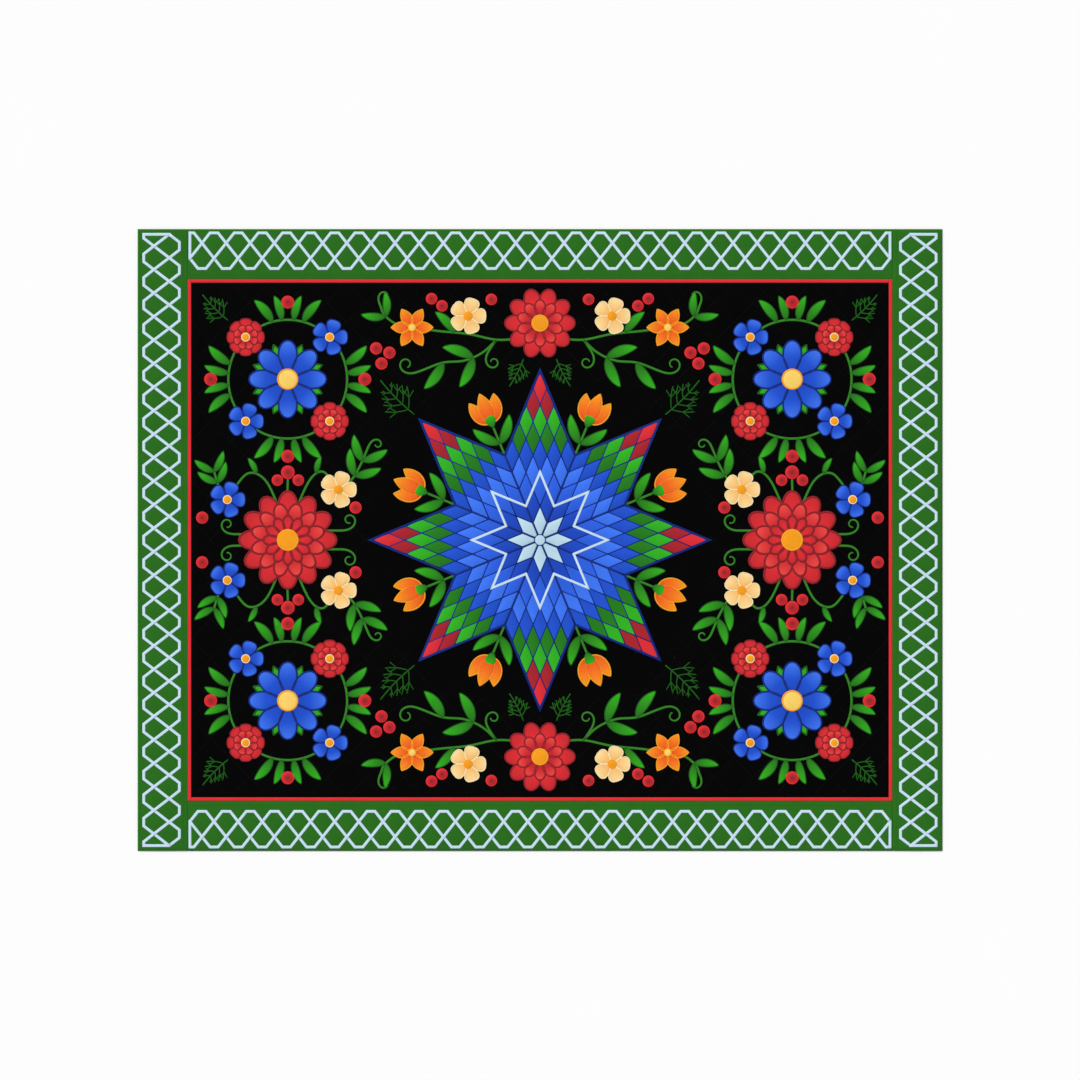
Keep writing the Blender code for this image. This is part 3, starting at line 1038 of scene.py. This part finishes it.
HEART_CROWN = 1.6 * MM
HEART_SIDES = 32
PAD_RIM_RISE = 0.2 * MM
BUTTON_REACH = 15.0 * MM
BUTTON_CROWN = 1.4 * MM
BUTTON_LIFT = STAR_SEAM - SEAM + 0.9 * MM
BUTTON_RIM = 3.0 * MM
Heart = namedtuple("Heart", "flower share lift cloth thread")
HEARTS = [
    Heart("blue_bloom", 0.25, 2.5, "pale_gold", "amber"),
    Heart("red_rose", 0.21, 3.2, "gold", "pale"),
    Heart("dahlia", 0.20, 3.6, "gold", "amber"),
    Heart("zinnia", 0.22, 2.9, "gold", "amber"),
    Heart("lily", 0.17, 2.6, "pale_gold", "amber"),
    Heart("cream_blossom", 0.22, 2.6, "gold", "amber"),
    Heart("forget_me_not", 0.22, 2.6, "gold", "pale"),
]
thread_grids = {name: [] for name in THREAD}
leaf_grids = []
print("kinds of heart:", len(HEARTS))

# %% Sew on the flowers and the button
for kind in PLACES:
    petals, edges = flower_rounds(kind)
    for thread, grid in edges:
        thread_grids[thread].append(grid)
    by_cloth = {}
    for cloth, grid in petals:
        by_cloth.setdefault(cloth, []).append(grid)
    standing = FLOWER_NODES[kind]
    for cloth, grids in by_cloth.items():
        if cloth == "leaf":
            leaf_grids += grids
            continue
        add_cloth(f"{kind}_{cloth}", grids, COTTON[cloth], replaces=standing)
        standing = ()
for heart in HEARTS:
    places = PLACES[heart.flower]
    grid = domes(places, heart.share, HEART_CROWN, heart.lift * MM)
    add_cloth(f"{heart.flower}_heart", [grid], COTTON[heart.cloth])
    ring = circle(places, heart.share, HEART_SIDES)
    thread_grids[heart.thread].append(rim_thread(ring, rim_width(places), PAD_RIM_RISE + heart.lift * MM))
button = np.array([(0.0, 0.0, BUTTON_REACH)])
button_grid = domes(button, 1.0, BUTTON_CROWN, BUTTON_LIFT)
sewn_on.append(add_trim("star_button", [button_grid], COTTON["ice"]))
button_ring = circle(button, 1.0, HEART_SIDES)
thread_grids["navy"].append(rim_thread(button_ring, BUTTON_RIM, BUTTON_LIFT + PAD_RIM_RISE))

# %% [markdown]
# ## Vines and curls
# A vine is green bias tape, eased into curves with the iron and stitched down before the leaves. Its
# route is a smooth curve through a few listed points, and it may end in a curl: a spiral whose
# heading turns faster and faster, while the tape gets narrower. All is drawn for one quarter of the
# quilt and mirrored.

# %% Routes of the vines
VINE_WIDTH = 6.5 * MM
VINE_HEIGHT = 0.9 * MM
VINE_POINTS = 40
CURL_POINTS = 30
CURL_END = 0.6
WREATHS = PLACES["blue_bloom"]
WREATH_RING = 0.165
WREATH_SIDES = 96
WREATH_X, WREATH_Y = np.abs(WREATHS[0, :2])

Curl = namedtuple("Curl", "length turn")
Vine = namedtuple("Vine", "route leaves sides size curl")
BOTH = (1, -1)
VINES = [
    Vine([(0.05, 0.560), (0.12, 0.556), (0.20, 0.572), (0.28, 0.580), (0.355, 0.590)], (0.62,), (1,),
         0.078, None),
    Vine([(0.355, 0.590), (0.40, 0.600), (0.432, 0.625), (0.443, 0.650)], (0.62,), BOTH, 0.068,
         Curl(0.08, 5.6)),
    Vine([(0.20, 0.572), (0.198, 0.600), (0.200, 0.622)], (), (), 0.0, None),
    Vine([(0.12, 0.556), (0.16, 0.520), (0.21, 0.498), (0.27, 0.492), (0.33, 0.470)],
         (0.38, 0.74), BOTH, 0.090, Curl(0.13, 6.4)),
    Vine([(0.122, 0.556), (0.137, 0.533)], (), (), 0.0, Curl(0.120, -6.8)),
    Vine([(0.68, 0.08), (0.640, 0.165), (0.605, 0.190), (0.572, 0.160)], (0.50,), (-1,), 0.048, None),
    Vine([(0.72, 0.08), (0.762, 0.165), (0.810, 0.185), (0.856, 0.135)], (0.50,), (1,), 0.048, None),
    Vine([(0.70, 0.08), (0.701, 0.13), (0.700, 0.168)], (), (), 0.0, None),
    Vine([(0.868, 0.112), (0.892, 0.150), (0.905, 0.190)], (0.62, 1.0), BOTH, 0.062, None),
    Vine([(0.560, 0.140), (0.525, 0.165), (0.500, 0.205), (0.478, 0.255)], (0.46, 0.76), BOTH, 0.076,
         Curl(0.08, 5.8)),
    Vine([(0.62, 0.026), (0.560, 0.026)], (), (), 0.0, Curl(0.125, -6.8)),
    Vine([(0.80, 0.016), (0.840, 0.016)], (), (), 0.0, Curl(0.115, 6.6)),
]

print("vines in one quarter:", len(VINES))

# %% Lay the vines
def smooth(route, count):
    """A curve through listed points: cubics whose slope runs from neighbour to neighbour."""
    spots = np.array(route, float)
    padded = np.vstack([2 * spots[0] - spots[1], spots, 2 * spots[-1] - spots[-2]])
    place = np.linspace(0, len(spots) - 1, count)
    left = np.minimum(place.astype(int), len(spots) - 2)
    t = (place - left)[:, None]
    a, b, c, d = (padded[left + k] for k in range(4))
    square = (2 * a - 5 * b + 4 * c - d) * t ** 2
    cube = (3 * b - a - 3 * c + d) * t ** 3
    return 0.5 * (2 * b + (c - a) * t + square + cube)


def curved(start, heading, length, turn, power, count):
    """A line from a start: its heading at share t of its length is the first heading + turn t^power."""
    t = (np.arange(count) + 0.5) / count
    angle = heading + turn * t ** power
    step = unit(angle) * length / count
    return np.vstack([start, start + np.cumsum(step, axis=0)])


def vine_path(vine):
    """The route of a vine, and its curl if it has one."""
    path = smooth(vine.route, VINE_POINTS)
    if vine.curl is None:
        return path
    ahead = path[-1] - path[-2]
    heading = math.atan2(ahead[1], ahead[0])
    curl = curved(path[-1], heading, vine.curl.length, vine.curl.turn, 2, CURL_POINTS)
    return np.vstack([path[:-1], curl])


def vine_tape(paths, width=VINE_WIDTH, closed=False):
    """Flat green tape along paths on the field."""
    return carry(paths, width, VINE_HEIGHT, FLAT_TAPE, closed)


plain_vines = mirrored(np.stack([vine_path(vine) for vine in VINES if vine.curl is None]))
curled_vines = mirrored(np.stack([vine_path(vine) for vine in VINES if vine.curl]))
narrowing = VINE_WIDTH * np.append(np.ones(VINE_POINTS), np.linspace(1.0, CURL_END, CURL_POINTS))
wreath_places = np.column_stack([WREATHS[:, :2], np.full(len(WREATHS), WREATH_RING)])
wreath_rings = circle(wreath_places, 1.0, WREATH_SIDES)
vine_grids = [
    vine_tape(plain_vines),
    vine_tape(curled_vines, narrowing),
    vine_tape(wreath_rings, closed=True),
]
print("vines:", len(plain_vines) + len(curled_vines), "wreaths:", len(wreath_rings))

# %% [markdown]
# ## Leaves, buds and berries
# Leaves grow in pairs along the vines and round the wreaths, buds stand in the star's notches, and
# berries sit in small groups. The leaves on a vine are worked out from it: they start on its line and
# lean forward to either side. Leaves of the wreaths are placed by angle. Ferns are feather stitch,
# short bent lines of thread that branch off a stem.

# %% Work out the leaves
LEAF_SLIM = 0.155
LEAF_CROWN = 0.8
LEAF_LIFT = 0.4
LEAF_LEAN = math.radians(42)
LEAF_BEND = 0.5
WreathLeaf = namedtuple("WreathLeaf", "offset lean length")
WREATH_LEAVES = [WreathLeaf(offset=6, lean=17, length=0.070), WreathLeaf(offset=15, lean=40, length=0.078)]
Leaf = namedtuple("Leaf", "x y heading length bend")


def hidden(leaf):
    """Whether a flower would cover a leaf's tip, so that the leaf is left out."""
    tip = np.array([leaf.x, leaf.y])
    tip += leaf.length * np.array([math.cos(leaf.heading), math.sin(leaf.heading)])
    return any((np.hypot(*(places[:, :2] - tip).T) < places[:, 2]).any() for places in PLACES.values())


def vine_leaves():
    """Leaves of one quarter: at each share of a vine, on its listed sides, leaning forward."""
    rows = []
    for vine in VINES:
        path = smooth(vine.route, VINE_POINTS)
        for share in vine.leaves:
            spot = round(share * (VINE_POINTS - 1))
            ahead = path[min(spot + 1, VINE_POINTS - 1)] - path[spot - 1]
            heading = math.atan2(ahead[1], ahead[0])
            for side in vine.sides:
                rows.append(Leaf(*path[spot], heading + side * LEAF_LEAN, vine.size, -side * LEAF_BEND))
    return [leaf for leaf in rows if not hidden(leaf)]


def wreath_leaves():
    """Leaves of one wreath: pairs that fan out of the ring at its four sides."""
    rows = []
    for quarter in range(4):
        middle = quarter * math.pi / 2
        for side in BOTH:
            for row in WREATH_LEAVES:
                angle = middle + side * math.radians(row.offset)
                heading = middle + side * math.radians(row.lean)
                x = WREATH_X + WREATH_RING * math.cos(angle)
                y = WREATH_Y + WREATH_RING * math.sin(angle)
                rows.append(Leaf(x, y, heading, row.length, side * LEAF_BEND))
    return rows


x, y, heading, length, bend = np.array(vine_leaves() + wreath_leaves(), float).T
for sx, sy in QUARTERS:
    base = np.stack([sx * x, sy * y], axis=-1)
    turned_heading = np.arctan2(sy * np.sin(heading), sx * np.cos(heading))
    leaf_grids.append(lobes(base, turned_heading, length, length * LEAF_SLIM, LEAF_SHAPE,
                            LEAF_CROWN * MM, LEAF_LIFT * MM, bend * sx * sy))
print("leaves of vines and wreaths:", len(QUARTERS) * len(x))

# %% Buds in the star's notches
STEM_START = 0.250
STEM_END = 0.352
STEM_POINTS = 12
Part = namedtuple("Part", "distance aside lean length half_width shape crown lift bend")
NOTCH_LEAVES = [
    Part(0.290, 0.0, 0.70, 0.085, 0.085 * LEAF_SLIM, LEAF_SHAPE, LEAF_CROWN, LEAF_LIFT, -0.6),
    Part(0.290, 0.0, -0.70, 0.085, 0.085 * LEAF_SLIM, LEAF_SHAPE, LEAF_CROWN, LEAF_LIFT, 0.6),
    Part(0.338, 0.0, 0.0, 0.034, 0.015, ROUND_PETAL, 1.0, 1.8, 0.0),
]
NOTCH_BUDS = [
    Part(STEM_END, 4.0, 0.42, 0.080, 0.019, POINTED_PETAL, 1.1, 0.6, -0.5),
    Part(STEM_END, -4.0, -0.42, 0.080, 0.019, POINTED_PETAL, 1.1, 0.6, 0.5),
    Part(0.350, 0.0, 0.0, 0.088, 0.020, POINTED_PETAL, 1.1, 1.2, 0.0),
]


def notch_places(distance, aside=0.0):
    """Points in the star's eight notches, at a distance from its middle and to one side."""
    angle = (np.arange(STAR_POINTS) + 0.5) * 2 * HALF_TURN
    side = np.stack([-np.sin(angle), np.cos(angle)], axis=-1)
    return unit(angle) * distance + side * aside, angle


def notch_grid(part):
    """One part of a bud or its leaves in all eight notches. Distances aside, crown and lift are in mm."""
    base, angle = notch_places(part.distance, part.aside * MM)
    return lobes(base, angle + part.lean, part.length, part.half_width, part.shape, part.crown * MM,
                 part.lift * MM, part.bend)


inner, _ = notch_places(STEM_START)
outer, _ = notch_places(STEM_END)
stems = np.stack([inner + (outer - inner) * t for t in np.linspace(0, 1, STEM_POINTS)], axis=1)
vine_grids.append(vine_tape(stems))
leaf_grids += [notch_grid(part) for part in NOTCH_LEAVES]
bud_grids = [notch_grid(part) for part in NOTCH_BUDS]
print("petals of buds:", sum(len(grid.points) for grid in bud_grids))

# %% Feather stitch ferns
Fern = namedtuple("Fern", "x y heading length")
FERNS = [Fern(0.348, 0.348, 38, 0.135), Fern(0.866, 0.610, 38, 0.100), Fern(0.046, 0.502, -70, 0.085)]
FERN_WIDTHS = (4.0, 3.4, 3.0)
FERN_BEND = 0.25
BARB_PAIRS = 4
BARB_SHARE = 0.55
BARB_LEAN = 1.05
TWIG_SHARE = 0.38
TWIG_LEAN = 0.80
TWIG_SPREAD = 0.60


def fern_paths():
    """Feather stitch: bent stems, pairs of barbs that shorten to the tip, and two twigs to a barb."""
    stems, barbs, twigs = [], [], []
    for fern in FERNS:
        heading = math.radians(fern.heading)
        stem = curved((fern.x, fern.y), heading, fern.length, FERN_BEND, 1, 3 * BARB_PAIRS)
        stems.append(stem)
        for pair in range(BARB_PAIRS):
            share = (2 * pair + 2) / (3 * BARB_PAIRS)
            along = heading + FERN_BEND * share
            reach = fern.length * BARB_SHARE * (1.05 - share)
            for side in BOTH:
                barb = curved(stem[2 * pair + 2], along + side * BARB_LEAN, reach, -side * 0.5, 1, 6)
                barbs.append(barb)
                for twist in (TWIG_SPREAD, -TWIG_SPREAD):
                    lean = side * (TWIG_LEAN + twist)
                    twigs.append(curved(barb[3], along + lean, reach * TWIG_SHARE, 0.0, 1, 3))
    return [mirrored(np.stack(paths)) for paths in (stems, barbs, twigs)]


for paths, width in zip(fern_paths(), FERN_WIDTHS):
    thread_grids["forest"].append(carry(paths, width * MM, RIM_HEIGHT, ROUND_CORD, False, rise=0.1 * MM))
print("ferns:", len(QUARTERS) * len(FERNS))

# %% Place the berries
Berry = namedtuple("Berry", "x y reach")
QUARTER_BERRIES = [
    Berry(0.700, 0.188, 17 * MM), Berry(0.671, 0.166, 14 * MM), Berry(0.729, 0.166, 14 * MM),
    Berry(0.272, 0.650, 14 * MM), Berry(0.301, 0.670, 14 * MM), Berry(0.135, 0.668, 14 * MM),
    Berry(0.938, 0.062, 15 * MM), Berry(0.512, 0.090, 15 * MM),
    Berry(0.418, 0.520, 15 * MM), Berry(0.440, 0.490, 15 * MM), Berry(0.455, 0.532, 15 * MM),
]
BERRY_RING = 0.214
BERRY_CROWN = 2.4 * MM
BERRY_LIFT = 0.6 * MM
BERRY_RIM = 4.4 * MM
for x, y in ((1, 0), (0, 1), (-1, 0), (0, -1)):
    QUARTER_BERRIES.append(Berry(WREATH_X + BERRY_RING * x, WREATH_Y + BERRY_RING * y, 16 * MM))
berries = np.concatenate([np.array(QUARTER_BERRIES) * (sx, sy, 1) for sx, sy in QUARTERS])
print("berries:", len(berries))

# %% Sew on the leaves, buds and berries
LEAF_RIM = 3.6 * MM
LEAF_RIM_HEIGHT = 0.8 * MM
BUD_RIM = 3.8 * MM
add_cloth("leaves", leaf_grids, COTTON["leaf"])
add_cloth("buds", bud_grids, COTTON["orange_petal"])
add_cloth("vines", vine_grids, THREAD["vine"])
add_cloth("berries", [domes(berries, 1.0, BERRY_CROWN, BERRY_LIFT)], COTTON["berry"])
thread_grids["scarlet"].append(rim_thread(circle(berries, 1.0, PAD_SIDES), BERRY_RIM, 0.5 * MM))
for grid in leaf_grids:
    thread_grids["forest"].append(rim_thread(rims(grid), LEAF_RIM, LEAF_LIFT * MM, LEAF_RIM_HEIGHT))
for grid in bud_grids:
    thread_grids["amber"].append(rim_thread(rims(grid), BUD_RIM, 1.0 * MM))
THREAD_SLOTS = {"navy": "blue_cotton", "dark_red": "red_cotton", "scarlet": "red_cotton",
                "amber": "orange_cotton", "pale": "cream_cotton", "forest": "green_cotton"}
for name, slot in THREAD_SLOTS.items():
    sewn_on.append(add_trim(f"{name}_satin_stitch", thread_grids[name], THREAD[name]))

# %% [markdown]
# ## The braid on the border
# Three tapes zigzag across each strip, a third of a zigzag apart, and pass over and under one another
# in turn, as hair does in a plait. A triangle wave gives the route. It is a little taller than the
# braid is wide and is cut off at the edges, which makes the flat turns. A sine across the braid lifts
# each tape over one neighbour and lowers it under the next. A short bar of tape covers the cut ends.

# %% Braid the tapes
TAPE_HEIGHT = 0.6 * MM
WEAVE_RISE = 0.5 * MM
BAR_POINTS = 24
BAR_RISES = (0.6, 1.3, 0.2, 2.3, 1.2)


def bounce(travel, length):
    """A place that runs back and forth between 0 and length: length - |(travel mod 2 length) - length|."""
    return length - np.abs(travel % (2 * length) - length)


def tape_grid(strip, x, y, rise):
    """Tape on one strip's crown, along points given in cells along the braid and across it."""
    s = strip.margin + x * (strip.length - 2 * strip.margin) / strip.cells
    grid = carry(pairs(s, strip.middle + CELL * y), TAPE_WIDTH, TAPE_HEIGHT, FLAT_TAPE, False,
                 rise=rise, surface=lambda s, t: crown(strip, s, t))
    return grid._replace(points=turned(strip, grid.points))


def braid_grids(strip):
    """Three tapes, y = SLANT (bounce - 1) cut off at -1 and 1, and a bar over their ends at either end.

    At an end one tape is at y = -1 and the other two cross at y = SLANT / 3, so the bar spans these
    and rises over them.
    """
    x = np.arange(round(strip.cells * STEPS_ALONG) + 1) / STEPS_ALONG
    travel = x + THIRD * np.arange(3)[:, None]
    y = SLANT * (bounce(travel, 2) - 1)
    rising = np.where(travel % 4 < 2, 1.0, -1.0)
    weaving = -rising * np.sin(1.5 * math.pi * y / SLANT) * (np.abs(y) < SLANT * 2 / 3)
    half = TAPE_WIDTH / CELL / 2
    bar = np.linspace(-1 - half, SLANT / 3 + half, BAR_POINTS)
    bends = (bar[0], -1, -0.4, SLANT / 3, bar[-1])
    bar_rise = WEAVE_RISE * np.interp(bar, bends, BAR_RISES)
    return [
        tape_grid(strip, x, np.clip(y, -1, 1), WEAVE_RISE * (1 + weaving)),
        tape_grid(strip, np.array([[0.0], [strip.cells]]), bar, bar_rise),
    ]


for strip in STRIPS:
    add_cloth(f"braid_tape_{strip.name}", braid_grids(strip), THREAD["ice"])

# %% [markdown]
# ## Running stitches
# The quilting is sewn by hand in small even stitches. Each is a short length of thread whose ends dive
# into the cloth. A few thousand are made in one go: their places along the lines come from arithmetic.
# Two more rows run along the border, by its hem and by its seam.

# %% Quilt the field
STITCH_LENGTH = 4.2 * MM
STITCH_PITCH = 8.0 * MM
STITCH_WIDTH = 0.8 * MM
STITCH_HEIGHT = 0.7 * MM
STITCH_DIVE = 0.2 * MM
STITCH_SECTION = np.array([(-1.0, 0.0), (0.0, 1.0), (1.0, 0.0)])
HATCH_CLEAR = 0.2


def stitches(middle, heading, surface, rise):
    """Short threads at the given middles and headings, arched over the cloth: rise (1 - t^2) - dive."""
    t = np.array([-1.0, -0.6, 0.6, 1.0])
    paths = middle[:, None] + unit(heading)[:, None] * (t * STITCH_LENGTH / 2)[:, None]
    arch = rise * (1 - t ** 2) - STITCH_DIVE
    return carry(paths, STITCH_WIDTH, STITCH_HEIGHT, STITCH_SECTION, False, arch[None], surface)


def hatch_stitches():
    """Stitches along both families of slanting lines, where they cross open ground inside the field."""
    slant = math.hypot(STEP_X, STEP_Y)
    per_step = max(1, round(slant / STITCH_PITCH))
    travel = (np.arange(HATCH_COLUMNS * per_step) + 0.5) / per_step
    lines = np.arange(-HATCH_ROWS, HATCH_COLUMNS + HATCH_ROWS + 1, 2)
    spots, headings = [], []
    for direction in (1, -1):
        i, line = np.meshgrid(travel, lines)
        j = direction * (i - line)
        keep = (j > HATCH_CLEAR) & (j < HATCH_ROWS - HATCH_CLEAR)
        spots.append(np.stack([FIELD_LOW[0] + i[keep] * STEP_X, FIELD_LOW[1] + j[keep] * STEP_Y], axis=-1))
        headings.append(np.full(keep.sum(), math.atan2(direction * STEP_Y, STEP_X)))
    spots, headings = np.concatenate(spots), np.concatenate(headings)
    covered = np.zeros(len(spots), bool)
    for x, y, reach in QUIET:
        covered |= np.hypot(spots[:, 0] - x, spots[:, 1] - y) < reach
    return spots[~covered], headings[~covered]


spots, headings = hatch_stitches()
print("quilting stitches:", len(spots))
sewn_on.append(add_trim("quilting_stitches", [stitches(spots, headings, ground, 0.5 * MM)],
                        stitch_thread("black_thread", "141417")))

# %% Topstitch the border
HEM_ROW = 5.5 * MM
SEAM_ROW = 12.0 * MM


def border_stitches(strip):
    """Rows of stitches along a border strip, near its hems and near its inner seam."""
    s = np.arange(HEM_ROW, strip.length - HEM_ROW, STITCH_PITCH)
    rows = [np.column_stack([s, np.full(len(s), t)]) for t in (HEM_ROW, strip.width - SEAM_ROW)]
    headings = [np.zeros(2 * len(s))]
    if strip.hemmed:
        t = np.arange(HEM_ROW + STITCH_PITCH, strip.width, STITCH_PITCH)
        rows += [np.column_stack([np.full(len(t), s), t]) for s in (HEM_ROW, strip.length - HEM_ROW)]
        headings.append(np.full(2 * len(t), math.pi / 2))
    grid = stitches(np.concatenate(rows), np.concatenate(headings),
                    lambda s, t: crown(strip, s, t), 0.6 * MM)
    return grid._replace(points=turned(strip, grid.points))


hem_thread = add_trim("border_stitches", [border_stitches(strip) for strip in STRIPS],
                      stitch_thread("green_thread", "2f7d1e"))

# %% [markdown]
# ## Floor, light and camera
# The quilt lies on a plain pale floor. A broad light from the upper left grazes it, so that the
# pillows show, and a white sky fills the shadows. The camera looks straight down through a long lens
# from where the quilt fills the same share of the picture as in the photograph.

# %% Set the floor, the lights and the camera
IMAGE_SIZE = 1080
QUILT_PIXELS = 804.5
LENS = 100.0
SENSOR = 36.0
FARTHEST = 100.0
FLOOR_SIZE = 90.0
FLOOR_LEVEL = -0.5 * MM
FLOOR_DARK = 0.97
FLOOR_LIGHT = 0.98
QUILT_LENGTH = cad_box[1][0] - cad_box[0][0]


def add_floor():
    """A pale floor just under the quilt."""
    recipe = Recipe("floor_paint", roughness=0.9, specular=0.1, sheen=0.0)
    greys = {0: recipe.noise(3.0), 6: (*[FLOOR_DARK] * 3, 1.0), 7: (*[FLOOR_LIGHT] * 3, 1.0)}
    shade = recipe.node("ShaderNodeMix", {"data_type": "RGBA"}, greys, output=2)
    recipe.feed(recipe.shader.inputs["Base Color"], shade)
    half = FLOOR_SIZE / 2
    corners = [(sx * half, sy * half, FLOOR_LEVEL) for sx, sy in ((-1, -1), (1, -1), (1, 1), (-1, 1))]
    mesh = bpy.data.meshes.new("floor")
    mesh.from_pydata(corners, [], [(0, 1, 2, 3)])
    mesh.materials.append(recipe.material)
    floor = bpy.data.objects.new("floor", mesh)
    bpy.context.scene.collection.objects.link(floor)


def add_sun(name, strength, azimuth, elevation, spread):
    """A soft directional light: azimuth is counted from +Y towards +X, and elevation above the floor."""
    light = bpy.data.lights.new(name, "SUN")
    light.energy = strength
    light.angle = math.radians(spread)
    sun = bpy.data.objects.new(name, light)
    sun.rotation_mode = "XYZ"
    sun.rotation_euler = (math.radians(90 - elevation), 0.0, math.radians(180 - azimuth))
    bpy.context.scene.collection.objects.link(sun)


def add_sky(strength):
    """Even white light from all round."""
    world = bpy.data.worlds.new("studio")
    world.use_nodes = True
    world.node_tree.nodes["Background"].inputs["Color"].default_value = (1.0, 1.0, 1.0, 1.0)
    world.node_tree.nodes["Background"].inputs["Strength"].default_value = strength
    bpy.context.scene.world = world


def add_camera():
    """A camera over the middle of the quilt, looking straight down with the quilt's top upwards."""
    camera = bpy.data.cameras.new("camera")
    camera.lens = LENS
    camera.sensor_width = SENSOR
    view_width = QUILT_LENGTH * IMAGE_SIZE / QUILT_PIXELS
    eye = bpy.data.objects.new("camera", camera)
    eye.location = (0.0, 0.0, view_width * LENS / SENSOR)
    camera.clip_end = FARTHEST
    bpy.context.scene.collection.objects.link(eye)
    bpy.context.scene.camera = eye
    print("camera height:", round(eye.location[2], 2), "m")


add_floor()
add_sky(strength=0.52)
add_sun("key", strength=2.50, azimuth=-45, elevation=38, spread=10)
bpy.context.scene.view_settings.view_transform = "Standard"
add_camera()
